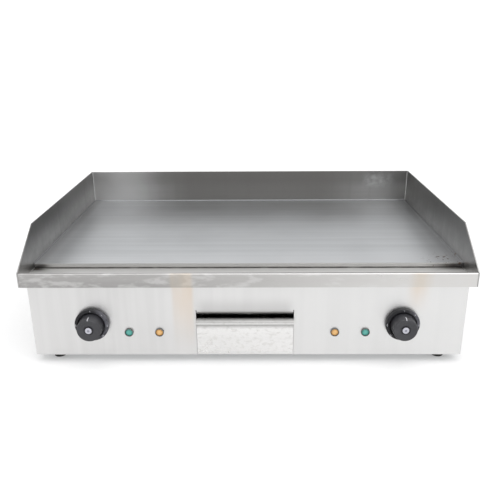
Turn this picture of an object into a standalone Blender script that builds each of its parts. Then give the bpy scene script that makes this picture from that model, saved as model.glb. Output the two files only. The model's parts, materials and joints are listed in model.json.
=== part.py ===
"""Flat top griddle: an electric countertop griddle with two heating zones and a grease drawer.

Metres, +X right, +Y back, +Z up. The origin is on the worktop, under the middle of the whole appliance.
Distances called "back" are measured from the front face of the rim towards the rear.
"""

import math

import bmesh
import bpy
from mathutils import Matrix, Vector

# The cooking top
TOP_WIDTH = 0.730
TOP_DEPTH = 0.476
RIM_TOP = 0.1658
SKIRT_BOTTOM = 0.1418
GUARD_SHEET = 0.0020
GUARD_EDGE = 0.0004
GUARD_RISE_REAR = 0.0590
GUARD_RISE_KNUCKLE = 0.0565
KNUCKLE_BACK = 0.086
RIM_THICKNESS = 0.0060
PLATE_THICKNESS = 0.0080
PLATE_TOP = 0.1561
PLATE_FRONT_BACK = 0.0690
GUTTER_SHEET = 0.0016
GUTTER_TUCK = 0.011
DRAIN_BACK = 0.036
DRAIN_RADIUS = 0.0110
SPOUT_LENGTH = 0.0500
SPOUT_WALL = 0.0012
SPOUT_FLANGE = 0.0060

# The body under it
SHEET = 0.0012
BODY_WIDTH = 0.712
BODY_FRONT_BACK = 0.0103
BODY_REAR_BACK = 0.466
BODY_BOTTOM = 0.0150
RETURN_FLANGE = 0.0150
BEND = 0.0020
BASE_FLANGE = 0.0100
HOLE_CLEARANCE = 0.0004
CONTROL_HOLE = 0.0050
LAMP_HOLE = 0.0055

# The grease drawer
DRAWER_X = -0.0044
DRAWER_WIDTH = 0.1596
DRAWER_SIDE_GAP = 0.0004
TRAY_LENGTH = 0.300
TRAY_WIDTH = 0.150
TRAY_BOTTOM = 0.0275
TRAY_TOP = 0.0665
LIP_TOP = 0.0833
LIP_BEND = 0.0016
LIP_ROLL = 0.0074
LIP_RETURN_BEND = 0.0016
LIP_RETURN = 0.0036
OPENING_TOP = 0.0975
CURL_RADIUS = 0.0120
CURL_ABOVE = 0.0030
CURL_TAIL = 0.0010
CURL_RELIEF = 0.0010
DRAWER_FOOT_GAP = 0.0005
RAIL_SIDE_PLAY = 0.0015
RAIL_HEADROOM = 0.0008
RAIL_SHELF = 0.0060
RAIL_LIP = 0.0030
RAIL_FOOT = 0.0120
RAIL_BEHIND_TRAY = 0.018

# The controls
CONTROL_X = 0.2540
CONTROL_SHIFT = -0.0012
CONTROL_Z = 0.0736
BEZEL_RADIUS = 0.0277
BEZEL_INNER = 0.0209
BEZEL_DEPTH = 0.0092
BEZEL_BORE = 0.0065
BEZEL_FLOOR = 0.0018
BEZEL_OUTER_STEPS = ((0, 0.0020), (0.0006, 0.0006), (0.0018, 0))
BEZEL_INNER_STEPS = ((0.0012, 0), (0.0004, 0.0006), (0, 0.0018))
KNOB_RADIUS = 0.0203
KNOB_FACE = 0.0275
KNOB_BASE = 0.0023
KNOB_BASE_EDGE = (0.0004, 0.0005)
KNOB_CORNER = ((0.0008, 0.0022), (0.0013, 0.0007), (0.0026, 0.0001), (0.0045, 0))
CAP_RADIUS = 0.0052
CAP_PROUD = 0.0005
CAP_POCKET = 0.0012
CAP_EDGE = (0.0004, 0.0003)
SHAFT_RADIUS = 0.0030
SHAFT_OUTER_END = 0.0220
SHAFT_INNER_END = -0.0110
THERMOSTAT_DEPTH = 0.0380
THERMOSTAT_HALF_WIDTH = 0.0190
THERMOSTAT_HALF_HEIGHT = 0.0165
THERMOSTAT_BORE_REACH = 0.0260
BRACKET_HALF_WIDTH = 0.0240
BRACKET_SHEET = 0.0015
GREEN_LAMP_X = 0.1950
AMBER_LAMP_X = 0.1447
LAMP_Z = 0.0572
LAMP_RADIUS = 0.0072
LAMP_STEM = 0.0050
LAMP_STEM_DEPTH = 0.0060
LAMP_EDGE = 0.0014
LAMP_DOME = 0.0016
HOUSING_RADIUS = 0.0075
HOUSING_SHOULDER = 0.0240
HOUSING_TAIL_RADIUS = 0.0050
HOUSING_LENGTH = 0.0300

# The rear of the body
GLAND_X = 0.2550
GLAND_Z = 0.0480
GLAND_LENGTH = 0.0260
GLAND_THREAD = 0.0078
GLAND_BORE = 0.0055
GLAND_INNER_LENGTH = 0.0120
GLAND_OUTLINE = ((0.0120, 0.0070), (0.0110, 0.0080), (0.0110, 0.0180), (0.0095, 0.0235))
GLAND_NUT_FLATS = 0.0220
GLAND_NUT_HEIGHT = 0.0050
EARTH_X = 0.3050
EARTH_Z = 0.0480
EARTH_HEAD_RADIUS = 0.0055
EARTH_HEAD_DEPTH = 0.0045
EARTH_LENGTH = 0.0150
EARTH_NUT_FLATS = 0.0100
EARTH_NUT_HEIGHT = 0.0050
LOUVRE_ROWS = 6
LOUVRE_COLUMNS = 4
LOUVRE_LENGTH = 0.060
LOUVRE_HEIGHT = 0.0035
LOUVRE_LOWEST = 0.080
LOUVRE_PITCH = 0.0095
LOUVRE_SPACING = 0.150

# The heating side, under the plate
ELEMENT_RADIUS = 0.0040
ELEMENT_PASSES = 6
ELEMENT_PITCH = 0.054
ELEMENT_INNER_X = 0.045
SHIELD_FRONT_BACK = 0.122
SHIELD_FLOOR = 0.1015
CLAMP_BACKS = (0.200, 0.390)
ELEMENT_END_BACK = 0.105
ELEMENT_FRONT_BACK = 0.142
ELEMENT_REAR_BACK = 0.452
ELEMENT_END_LOW = 0.1080
ELEMENT_END_BEND = 0.0100
CLAMP_OVERHANG = 0.010
CLAMP_HALF_WIDTH = 0.010
CLAMP_THICKNESS = 0.0030
CLAMP_NUT_RADIUS = 0.0060
CLAMP_NUT_HEIGHT = 0.0045
CLAMP_STUD_BELOW = 0.0062
SHIELD_HALF_WIDTH = 0.3500
SHIELD_TOP = 0.1375
SHIELD_CLEARANCE = 0.0030
BLANKET_TOP = 0.1270
BLANKET_EDGE = 0.0030
BULB_RADIUS = 0.0030
BULB_BACK = 0.200
BULB_LENGTH = 0.0900
BULB_SHOULDER = 0.0030
CAPILLARY_RADIUS = 0.0010
CAPILLARY_BACK = 0.103
CAPILLARY_TURN_Z = 0.0860
CAPILLARY_Z = 0.0820
CAPILLARY_ASIDE = 0.0100
CAPILLARY_BEND = 0.0100

# The wiring
POLES = 5
POLE_PITCH = 0.0120
POLE_BARRIER = 0.0015
BLOCK_DECK = 0.0140
BLOCK_HEIGHT = 0.0200
BLOCK_FRONT_BACK = 0.395
BLOCK_REAR_BACK = 0.420
LOOM_RADIUS = 0.0030
LOOM_LIFT = 0.0035
LOOM_START_X = 0.018
LOOM_RUN = 0.030
LOOM_ASIDE = 0.0080
LOOM_RISE_START = 0.040
LOOM_RISE_END = 0.022
LOOM_BELOW_SHAFT = 0.0060
LOOM_BENDS = (0.010, 0.010, 0.010, 0.008)

# The feet
FOOT_X = 0.3250
FOOT_BACKS = (0.038, 0.438)
FOOT_HEIGHT = 0.0150
FOOT_RADIUS = 0.0120
FOOT_WELL_RADIUS = 0.0050
FOOT_WELL_DEPTH = 0.0070
FOOT_BORE = 0.0032
FOOT_TAPER = 0.0010
FOOT_SHOULDER = 0.0015
FOOT_SOLE_CORNER = (0.0018, 0.0010)
FOOT_SCREW_HEAD = ((0.0035, 0.0035), (0.0045, 0.0048), (0.0045, 0.0067))
FOOT_SCREW_RADIUS = 0.0026
FOOT_SCREW_TOP = 0.0220

GAP = 0.0003
ROUND = 36
SMALL_ROUND = 16

FRONT_REACH = KNOB_FACE + CAP_PROUD - BODY_FRONT_BACK
REAR_REACH = BODY_REAR_BACK + GLAND_LENGTH - TOP_DEPTH
RIM_FRONT_Y = (FRONT_REACH - REAR_REACH - TOP_DEPTH) / 2
PANEL_Y = RIM_FRONT_Y + BODY_FRONT_BACK
REAR_Y = RIM_FRONT_Y + BODY_REAR_BACK
HALF_TOP = TOP_WIDTH / 2
HALF_BODY = BODY_WIDTH / 2
PLATE_BOTTOM = PLATE_TOP - PLATE_THICKNESS
PLATE_HALF = HALF_TOP - GUARD_SHEET - GAP
GUTTER_TOP = PLATE_BOTTOM - GAP
GUTTER_UNDER = GUTTER_TOP - GUTTER_SHEET
PANEL_TOP = GUTTER_UNDER - GAP
LOOKING_FORWARD = (math.radians(90), 0, 0)
LOOKING_BACK = (math.radians(-90), 0, 0)


def back(distance):
    """The Y of a place this far behind the rim's front face."""
    return RIM_FRONT_Y + distance


def control_place(side, from_middle=CONTROL_X):
    """The X of a knob or lamp. The whole row sits a little left of the middle, as the drawer does."""
    return side * from_middle + CONTROL_SHIFT


# Materials

def material(name, colour, roughness, metallic):
    made = bpy.data.materials.new(name)
    made.use_nodes = True
    shader = made.node_tree.nodes["Principled BSDF"]
    shader.inputs["Base Color"].default_value = (*colour, 1)
    shader.inputs["Roughness"].default_value = roughness
    shader.inputs["Metallic"].default_value = metallic
    made.diffuse_color = (*colour, 1)
    return made


# Shapes

def rounded(points, radii, steps=4):
    """A path with each inner corner replaced by an arc. radii is one radius, or one for each inner corner."""
    points = [Vector(point) for point in points]
    if not isinstance(radii, (list, tuple)):
        radii = [radii] * (len(points) - 2)
    line = [points[0]]
    for before, corner, after, radius in zip(points, points[1:], points[2:], radii):
        into = (corner - before).normalized()
        out = (after - corner).normalized()
        turn = into.angle(out)
        start = corner - into * radius * math.tan(turn / 2)
        end = corner + out * radius * math.tan(turn / 2)
        centre = corner + (out - into).normalized() * radius / math.cos(turn / 2)
        for step in range(steps + 1):
            share = step / steps
            near = math.sin((1 - share) * turn) / math.sin(turn)
            far = math.sin(share * turn) / math.sin(turn)
            point = centre + near * (start - centre) + far * (end - centre)
            if (point - line[-1]).length > 1e-5:
                line.append(point)
    line.append(points[-1])
    return line


def left_of(direction):
    return Vector((-direction.y, direction.x))


def folded(path, thickness, radii, steps=4):
    """The closed outline of a sheet whose middle follows a path, bent at each corner."""
    line = rounded(path, radii, steps)
    left, right = [], []
    for index, point in enumerate(line):
        into = (point - line[max(index - 1, 0)]).normalized()
        out = (line[min(index + 1, len(line) - 1)] - point).normalized()
        if index == 0:
            into = out
        if index == len(line) - 1:
            out = into
        normal = (left_of(into) + left_of(out)).normalized()
        reach = thickness / 2 / normal.dot(left_of(into))
        left.append(point + normal * reach)
        right.append(point - normal * reach)
    return left + right[::-1]


def solid_from_rings(bm, rings, closed=False):
    """Joins rings of vertices, each to the next. A ring of one vertex is a point on the axis."""
    following = rings[1:] + rings[:1] if closed else rings[1:]
    for ring, other in zip(rings, following):
        count = max(len(ring), len(other))
        for index in range(count):
            quad = [
                ring[index % len(ring)],
                ring[(index + 1) % len(ring)],
                other[(index + 1) % len(other)],
                other[index % len(other)],
            ]
            corners = list(dict.fromkeys(quad))
            bm.faces.new(corners)
    bmesh.ops.recalc_face_normals(bm, faces=bm.faces)


def turned(profile, segments=ROUND, closed=False):
    """A solid of revolution about Z from (radius, height) points, closed on itself or at the axis."""
    bm = bmesh.new()
    rings = []
    for radius, height in profile:
        if radius == 0:
            rings.append([bm.verts.new((0, 0, height))])
            continue
        angles = [2 * math.pi * index / segments for index in range(segments)]
        rings.append([
            bm.verts.new((radius * math.cos(angle), radius * math.sin(angle), height))
            for angle in angles
        ])
    solid_from_rings(bm, rings, closed)
    return bm


def nut_shape(across_flats, bore, low, high, segments=24):
    """A hexagon nut about Z with a plain bore."""
    bm = bmesh.new()
    rings = []
    for flat, height in ((0, low), (1, low), (1, high), (0, high)):
        ring = []
        for index in range(segments):
            angle = 2 * math.pi * index / segments
            from_flat = (angle + math.pi / 6) % (math.pi / 3) - math.pi / 6
            radius = across_flats / 2 / math.cos(from_flat) if flat else bore
            ring.append(bm.verts.new((radius * math.cos(angle), radius * math.sin(angle), height)))
        rings.append(ring)
    solid_from_rings(bm, rings, closed=True)
    return bm


def tube(path, radii, sides):
    """A round bar along a path, with a radius for each point and flat ends."""
    bm = bmesh.new()
    rings = []
    across = None
    for index, point in enumerate(path):
        before = path[max(index - 1, 0)]
        after = path[min(index + 1, len(path) - 1)]
        along = (after - before).normalized()
        across = along.orthogonal() if across is None else across - along * across.dot(along)
        across.normalize()
        aside = along.cross(across)
        ring = []
        for side in range(sides):
            angle = 2 * math.pi * side / sides
            ring.append(bm.verts.new(
                point + radii[index] * (math.cos(angle) * across + math.sin(angle) * aside)
            ))
        rings.append(ring)
    solid_from_rings(bm, rings)
    bm.faces.new(rings[0])
    bm.faces.new(rings[-1])
    bmesh.ops.recalc_face_normals(bm, faces=bm.faces)
    return bm


def prism(outline, axis, start, end):
    """A closed outline pushed along an axis: (y, z) along X, (x, z) along Y or (x, y) along Z."""
    place = {
        "X": lambda a, b, along: (along, a, b),
        "Y": lambda a, b, along: (a, along, b),
        "Z": lambda a, b, along: (a, b, along),
    }[axis]
    bm = bmesh.new()
    ends = []
    for along in (start, end):
        ends.append([bm.verts.new(place(point[0], point[1], along)) for point in outline])
    solid_from_rings(bm, ends)
    bm.faces.new(ends[0])
    bm.faces.new(ends[1])
    bmesh.ops.recalc_face_normals(bm, faces=bm.faces)
    return bm


def block(low, high):
    outline = [(low[0], low[1]), (high[0], low[1]), (high[0], high[1]), (low[0], high[1])]
    return prism(outline, "Z", low[2], high[2])


def open_tray(low, high, sheet):
    """A box of one sheet thickness, open at the top."""
    bm = bmesh.new()
    rings = []
    steps = ((0, low[2]), (0, high[2]), (sheet, high[2]), (sheet, low[2] + sheet))
    for inset, height in steps:
        x0, x1 = low[0] + inset, high[0] - inset
        y0, y1 = low[1] + inset, high[1] - inset
        rings.append([
            bm.verts.new((x, y, height))
            for x, y in ((x0, y0), (x1, y0), (x1, y1), (x0, y1))
        ])
    solid_from_rings(bm, rings)
    bm.faces.new(rings[0])
    bm.faces.new(rings[-1])
    bmesh.ops.recalc_face_normals(bm, faces=bm.faces)
    return bm


def joined(shapes):
    """Separate closed shapes in one mesh, for a cutter with many places."""
    whole = bmesh.new()
    for shape in shapes:
        loose = bpy.data.meshes.new("loose")
        shape.to_mesh(loose)
        shape.free()
        whole.from_mesh(loose)
        bpy.data.meshes.remove(loose)
    return whole


def hole(x, y, z, radius, length, direction, segments=SMALL_ROUND):
    """A round cutter centred on a place, along Y or Z."""
    shape = turned([(0, -length / 2), (radius, -length / 2), (radius, length / 2), (0, length / 2)], segments)
    if direction == "Y":
        quarter = Matrix.Rotation(math.pi / 2, 3, "X")
        bmesh.ops.rotate(shape, cent=(0, 0, 0), matrix=quarter, verts=shape.verts)
    bmesh.ops.translate(shape, vec=(x, y, z), verts=shape.verts)
    return shape


# Objects

def add(name, shape, finish, location=(0, 0, 0), rotation=(0, 0, 0), smooth_angle=None):
    mesh = bpy.data.meshes.new(name)
    shape.to_mesh(mesh)
    shape.free()
    if smooth_angle:
        mesh.shade_smooth()
        mesh.set_sharp_from_angle(angle=math.radians(smooth_angle))
    made = bpy.data.objects.new(name, mesh)
    made.location = location
    made.rotation_euler = rotation
    mesh.materials.append(finish)
    bpy.context.collection.objects.link(made)
    return made


def combine(target, shape, operation, name):
    """Cuts a hidden shape out of an object, or joins it on."""
    tool = add(name, shape, target.data.materials[0])
    tool.hide_render = True
    tool.display_type = "WIRE"
    boolean = target.modifiers.new(name, "BOOLEAN")
    boolean.operation = operation
    boolean.object = tool


def bevel(target, width, segments=2):
    modifier = target.modifiers.new("edges", "BEVEL")
    modifier.width = width
    modifier.segments = segments
    modifier.limit_method = "ANGLE"


# The cooking top

def make_plate(steel):
    low = (-PLATE_HALF, back(PLATE_FRONT_BACK), PLATE_BOTTOM)
    high = (PLATE_HALF, back(TOP_DEPTH) - GUARD_SHEET - GAP, PLATE_TOP)
    plate = add("griddle_plate", block(low, high), steel)
    bevel(plate, 0.0008)


def make_guards(steel):
    """The side guards run the full depth and close the rim's ends. The rear guard stands between them."""
    outline = [
        (back(0), SKIRT_BOTTOM),
        (back(TOP_DEPTH), SKIRT_BOTTOM),
        (back(TOP_DEPTH), RIM_TOP + GUARD_RISE_REAR),
        (back(KNUCKLE_BACK), RIM_TOP + GUARD_RISE_KNUCKLE),
        (back(0), RIM_TOP),
    ]
    for side, name in ((-1, "left"), (1, "right")):
        inner = side * (HALF_TOP - GUARD_SHEET)
        guard = add(f"splash_guard_{name}", prism(outline, "X", inner, side * HALF_TOP), steel)
        bevel(guard, GUARD_EDGE, 1)
    low = (-PLATE_HALF, back(TOP_DEPTH) - GUARD_SHEET, SKIRT_BOTTOM)
    high = (PLATE_HALF, back(TOP_DEPTH), RIM_TOP + GUARD_RISE_REAR)
    bevel(add("splash_guard_rear", block(low, high), steel), GUARD_EDGE, 1)


def make_gutter(steel):
    """The trough before the plate. Its front wall is rolled over as the rim and hangs down as a skirt."""
    floor = GUTTER_TOP - GUTTER_SHEET / 2
    front = GUTTER_SHEET / 2
    path = [
        (back(PLATE_FRONT_BACK + GUTTER_TUCK), floor),
        (back(RIM_THICKNESS - front), floor),
        (back(RIM_THICKNESS - front), RIM_TOP - front),
        (back(front), RIM_TOP - front),
        (back(front), SKIRT_BOTTOM),
    ]
    roll = (RIM_THICKNESS - GUTTER_SHEET) / 2
    section = folded(path, GUTTER_SHEET, [GUTTER_SHEET, roll, roll], 6)
    gutter = add("front_gutter", prism(section, "X", -PLATE_HALF, PLATE_HALF), steel, smooth_angle=40)
    drain = hole(DRAWER_X, back(DRAIN_BACK), GUTTER_TOP, DRAIN_RADIUS, 0.02, "Z")
    combine(gutter, drain, "DIFFERENCE", "drain_hole")


def make_drain_spout(steel):
    profile = [
        (DRAIN_RADIUS, -SPOUT_LENGTH),
        (DRAIN_RADIUS + SPOUT_WALL, -SPOUT_LENGTH),
        (DRAIN_RADIUS + SPOUT_WALL, -SPOUT_WALL),
        (DRAIN_RADIUS + SPOUT_FLANGE, -SPOUT_WALL),
        (DRAIN_RADIUS + SPOUT_FLANGE, 0),
        (DRAIN_RADIUS, 0),
    ]
    place = (DRAWER_X, back(DRAIN_BACK), PANEL_TOP)
    add("drain_spout", turned(profile, SMALL_ROUND, closed=True), steel, place, smooth_angle=40)


# The body

def panel_plan(face_y, inward):
    """The plan of a panel whose two ends are bent back as flanges. inward is +1 towards the rear."""
    x = HALF_BODY - SHEET / 2
    y = face_y + inward * SHEET / 2
    flange_y = face_y + inward * RETURN_FLANGE
    path = [(-x, flange_y), (-x, y), (x, y), (x, flange_y)]
    return folded(path, SHEET, BEND)


def make_front_panel(steel):
    panel = add("front_panel", prism(panel_plan(PANEL_Y, 1), "Z", BODY_BOTTOM, PANEL_TOP), steel)
    half = DRAWER_WIDTH / 2 + DRAWER_SIDE_GAP
    reach = 0.01
    cuts = [block(
        (DRAWER_X - half, PANEL_Y - reach, BODY_BOTTOM - reach),
        (DRAWER_X + half, PANEL_Y + reach, OPENING_TOP),
    )]
    for side in (-1, 1):
        cuts.append(hole(control_place(side), PANEL_Y, CONTROL_Z, CONTROL_HOLE, 2 * reach, "Y"))
        for lamp_x in (GREEN_LAMP_X, AMBER_LAMP_X):
            x = control_place(side, lamp_x)
            cuts.append(hole(x, PANEL_Y, LAMP_Z, LAMP_HOLE, 2 * reach, "Y"))
    combine(panel, joined(cuts), "DIFFERENCE", "front_panel_cuts")
    middle = PANEL_Y + SHEET / 2
    curl_centre_y = middle + CURL_RADIUS
    path = [
        (middle, OPENING_TOP + CURL_ABOVE),
        (middle, OPENING_TOP - CURL_RADIUS),
        (curl_centre_y + CURL_TAIL, OPENING_TOP - CURL_RADIUS),
    ]
    half -= CURL_RELIEF
    curl = prism(folded(path, SHEET, CURL_RADIUS, 6), "X", DRAWER_X - half, DRAWER_X + half)
    combine(panel, curl, "UNION", "opening_curl")


def make_side_panels(steel):
    """Side sheets with a top flange that carries the plate, notched at the front under the gutter."""
    middle = HALF_BODY - SHEET / 2
    flange_z = PLATE_BOTTOM - GAP - SHEET / 2
    front = PANEL_Y + RETURN_FLANGE + GAP
    rear = REAR_Y - RETURN_FLANGE - GAP
    notch_end = back(PLATE_FRONT_BACK + GUTTER_TUCK) + GAP
    reach = 0.02
    for side, name in ((-1, "left"), (1, "right")):
        path = [
            (side * middle, BODY_BOTTOM),
            (side * middle, flange_z),
            (side * (middle - RETURN_FLANGE), flange_z),
        ]
        panel = add(f"side_panel_{name}", prism(folded(path, SHEET, BEND), "Y", front, rear), steel)
        x_values = sorted((side * (middle - RETURN_FLANGE - reach), side * (HALF_BODY + reach)))
        notch = block((x_values[0], front - reach, PANEL_TOP), (x_values[1], notch_end, PLATE_BOTTOM + reach))
        combine(panel, notch, "DIFFERENCE", f"side_notch_{name}")


def make_rear_panel(steel):
    top = PLATE_BOTTOM - GAP
    panel = add("rear_panel", prism(panel_plan(REAR_Y, -1), "Z", BODY_BOTTOM, top), steel)
    reach = 0.01
    cuts = [
        hole(GLAND_X, REAR_Y, GLAND_Z, GLAND_THREAD + HOLE_CLEARANCE, 2 * reach, "Y"),
        hole(EARTH_X, REAR_Y, EARTH_Z, SHAFT_RADIUS + HOLE_CLEARANCE, 2 * reach, "Y"),
    ]
    for row in range(LOUVRE_ROWS):
        z = LOUVRE_LOWEST + LOUVRE_PITCH * row
        for column in range(LOUVRE_COLUMNS):
            x = LOUVRE_SPACING * (column - (LOUVRE_COLUMNS - 1) / 2)
            cuts.append(block(
                (x - LOUVRE_LENGTH / 2, REAR_Y - reach, z),
                (x + LOUVRE_LENGTH / 2, REAR_Y + reach, z + LOUVRE_HEIGHT),
            ))
    combine(panel, joined(cuts), "DIFFERENCE", "rear_panel_cuts")


def make_base_plate(steel):
    inset = SHEET + 2 * GAP
    low = (-HALF_BODY + inset, PANEL_Y + inset, BODY_BOTTOM)
    high = (HALF_BODY - inset, REAR_Y - inset, BODY_BOTTOM + BASE_FLANGE)
    base = add("base_plate", open_tray(low, high, SHEET), steel)
    holes = [
        hole(side * FOOT_X, back(foot_back), BODY_BOTTOM, SHAFT_RADIUS, 0.01, "Z")
        for side in (-1, 1)
        for foot_back in FOOT_BACKS
    ]
    combine(base, joined(holes), "DIFFERENCE", "foot_holes")


# The grease drawer

def make_drawer(steel):
    half = DRAWER_WIDTH / 2
    middle = PANEL_Y + SHEET / 2
    lip_y = middle - LIP_BEND - LIP_ROLL
    lip_z = LIP_TOP - SHEET / 2
    return_z = lip_z - LIP_ROLL - LIP_RETURN_BEND
    path = [
        (middle, BODY_BOTTOM + DRAWER_FOOT_GAP),
        (middle, lip_z),
        (lip_y, lip_z),
        (lip_y, return_z),
        (lip_y + LIP_RETURN, return_z),
    ]
    bends = [LIP_BEND, LIP_ROLL, LIP_RETURN_BEND]
    front = prism(folded(path, SHEET, bends, 6), "X", DRAWER_X - half, DRAWER_X + half)
    add("drawer_front", front, steel, smooth_angle=40)
    front_y = PANEL_Y + SHEET + GAP
    low = (DRAWER_X - TRAY_WIDTH / 2, front_y, TRAY_BOTTOM)
    high = (DRAWER_X + TRAY_WIDTH / 2, front_y + TRAY_LENGTH, TRAY_TOP)
    add("drawer_tray", open_tray(low, high, SHEET), steel)


def make_drawer_rails(steel):
    """Each rail has a foot on the base plate, a shelf under the tray and a lip over the tray's side."""
    floor = BODY_BOTTOM + SHEET + GAP
    wall = TRAY_WIDTH / 2 + RAIL_SIDE_PLAY
    shelf_top = TRAY_BOTTOM - GAP
    lip_low = TRAY_TOP + RAIL_HEADROOM
    shelf_end = TRAY_WIDTH / 2 - RAIL_SHELF
    lip_end = TRAY_WIDTH / 2 - RAIL_LIP
    foot_end = wall + SHEET + RAIL_FOOT
    section = [
        (foot_end, floor),
        (foot_end, floor + SHEET),
        (wall + SHEET, floor + SHEET),
        (wall + SHEET, lip_low + SHEET),
        (lip_end, lip_low + SHEET),
        (lip_end, lip_low),
        (wall, lip_low),
        (wall, shelf_top),
        (shelf_end, shelf_top),
        (shelf_end, shelf_top - SHEET),
        (wall, shelf_top - SHEET),
        (wall, floor),
    ]
    start = PANEL_Y + 2 * SHEET + 3 * GAP
    end = start + TRAY_LENGTH + RAIL_BEHIND_TRAY
    for side, name in ((-1, "left"), (1, "right")):
        outline = [(DRAWER_X + side * x, z) for x, z in section]
        add(f"drawer_rail_{name}", prism(outline, "Y", start, end), steel)


# The controls

def make_control(side, name, finishes):
    """One thermostat behind the panel, its shaft, and the bezel and knob in front."""
    x = control_place(side)
    place = (x, PANEL_Y, CONTROL_Z)
    bezel = [
        (BEZEL_BORE, GAP),
        (BEZEL_RADIUS, GAP),
        *((BEZEL_RADIUS - inset, BEZEL_DEPTH - drop) for inset, drop in BEZEL_OUTER_STEPS),
        *((BEZEL_INNER + inset, BEZEL_DEPTH - drop) for inset, drop in BEZEL_INNER_STEPS),
        (BEZEL_INNER, BEZEL_FLOOR),
        (BEZEL_BORE, BEZEL_FLOOR),
    ]
    shape = turned(bezel, closed=True)
    add(f"dial_bezel_{name}", shape, finishes["bezel"], place, LOOKING_FORWARD, 40)
    pocket = KNOB_FACE - CAP_POCKET
    knob = [
        (0, SHAFT_OUTER_END),
        (SHAFT_RADIUS + GAP, SHAFT_OUTER_END),
        (SHAFT_RADIUS + GAP, KNOB_BASE),
        (KNOB_RADIUS - KNOB_BASE_EDGE[0], KNOB_BASE),
        (KNOB_RADIUS, KNOB_BASE + KNOB_BASE_EDGE[1]),
        *((KNOB_RADIUS - inset, KNOB_FACE - drop) for inset, drop in KNOB_CORNER),
        (CAP_RADIUS + GAP, KNOB_FACE),
        (CAP_RADIUS + GAP, pocket),
        (0, pocket),
    ]
    add(f"control_knob_{name}", turned(knob), finishes["knob"], place, LOOKING_FORWARD, 40)
    cap_top = KNOB_FACE + CAP_PROUD
    cap = [
        (0, pocket + GAP),
        (CAP_RADIUS, pocket + GAP),
        (CAP_RADIUS, cap_top - CAP_EDGE[1]),
        (CAP_RADIUS - CAP_EDGE[0], cap_top),
        (0, cap_top),
    ]
    add(f"knob_cap_{name}", turned(cap, SMALL_ROUND), finishes["cap"], place, LOOKING_FORWARD, 40)
    shaft = [
        (0, SHAFT_INNER_END),
        (SHAFT_RADIUS, SHAFT_INNER_END),
        (SHAFT_RADIUS, SHAFT_OUTER_END - GAP),
        (0, SHAFT_OUTER_END - GAP),
    ]
    add(f"thermostat_shaft_{name}", turned(shaft, SMALL_ROUND), finishes["zinc"], place, LOOKING_FORWARD, 40)
    bracket_y = PANEL_Y + SHEET + GAP
    case_end = bracket_y + THERMOSTAT_DEPTH
    plan = [
        (x - BRACKET_HALF_WIDTH, bracket_y),
        (x + BRACKET_HALF_WIDTH, bracket_y),
        (x + BRACKET_HALF_WIDTH, bracket_y + BRACKET_SHEET),
        (x + THERMOSTAT_HALF_WIDTH, bracket_y + BRACKET_SHEET),
        (x + THERMOSTAT_HALF_WIDTH, case_end),
        (x - THERMOSTAT_HALF_WIDTH, case_end),
        (x - THERMOSTAT_HALF_WIDTH, bracket_y + BRACKET_SHEET),
        (x - BRACKET_HALF_WIDTH, bracket_y + BRACKET_SHEET),
    ]
    case = prism(plan, "Z", CONTROL_Z - THERMOSTAT_HALF_HEIGHT, CONTROL_Z + THERMOSTAT_HALF_HEIGHT)
    thermostat = add(f"thermostat_{name}", case, finishes["ceramic"])
    bore = hole(x, bracket_y, CONTROL_Z, SHAFT_RADIUS + GAP, THERMOSTAT_BORE_REACH, "Y")
    combine(thermostat, bore, "DIFFERENCE", f"thermostat_bore_{name}")
    make_sensor(side, name, case_end + GAP, finishes["copper"])


def make_sensor(side, name, case_end, copper):
    """The bulb under the plate and the thin capillary that joins it to the thermostat, in one piece."""
    bulb_x = side * (ELEMENT_INNER_X + ELEMENT_PITCH * (ELEMENT_PASSES - 1) / 2)
    bulb_z = PLATE_BOTTOM - GAP - BULB_RADIUS
    bulb_front = back(BULB_BACK)
    turn_y = back(CAPILLARY_BACK)
    end_x = control_place(side, CONTROL_X - CAPILLARY_ASIDE)
    corners = [
        (bulb_x, bulb_front, bulb_z),
        (bulb_x, turn_y, bulb_z),
        (bulb_x, turn_y, CAPILLARY_TURN_Z),
        (end_x, turn_y, CAPILLARY_Z),
        (end_x, case_end, CAPILLARY_Z),
    ]
    thin = rounded(corners, CAPILLARY_BEND, 4)
    bulb_end = Vector((bulb_x, bulb_front + BULB_LENGTH, bulb_z))
    shoulder = Vector((bulb_x, bulb_front + BULB_SHOULDER, bulb_z))
    path = [bulb_end, shoulder] + thin
    radii = [BULB_RADIUS, BULB_RADIUS] + [CAPILLARY_RADIUS] * len(thin)
    add(f"sensor_bulb_{name}", tube(path, radii, 8), copper, smooth_angle=40)


def make_lamp(x, name, lens_finish, body_finish):
    place = (x, PANEL_Y, LAMP_Z)
    dome = [
        (LAMP_RADIUS * math.cos(angle), LAMP_EDGE + LAMP_DOME * math.sin(angle))
        for angle in (math.pi / 2 * step / 3 for step in range(3))
    ]
    lens = [
        (0, -LAMP_STEM_DEPTH),
        (LAMP_STEM, -LAMP_STEM_DEPTH),
        (LAMP_STEM, GAP),
        (LAMP_RADIUS, GAP),
        *dome,
        (0, LAMP_EDGE + LAMP_DOME),
    ]
    add(f"lamp_lens_{name}", turned(lens, SMALL_ROUND), lens_finish, place, LOOKING_FORWARD, 40)
    start = -(SHEET + GAP)
    housing = [
        (0, -HOUSING_LENGTH),
        (HOUSING_TAIL_RADIUS, -HOUSING_LENGTH),
        (HOUSING_TAIL_RADIUS, -HOUSING_SHOULDER),
        (HOUSING_RADIUS, -HOUSING_SHOULDER),
        (HOUSING_RADIUS, start),
        (LAMP_STEM + GAP, start),
        (LAMP_STEM + GAP, -LAMP_STEM_DEPTH - GAP),
        (0, -LAMP_STEM_DEPTH - GAP),
    ]
    add(f"lamp_housing_{name}", turned(housing, 12), body_finish, place, LOOKING_FORWARD, 40)


# The heating side

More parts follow.
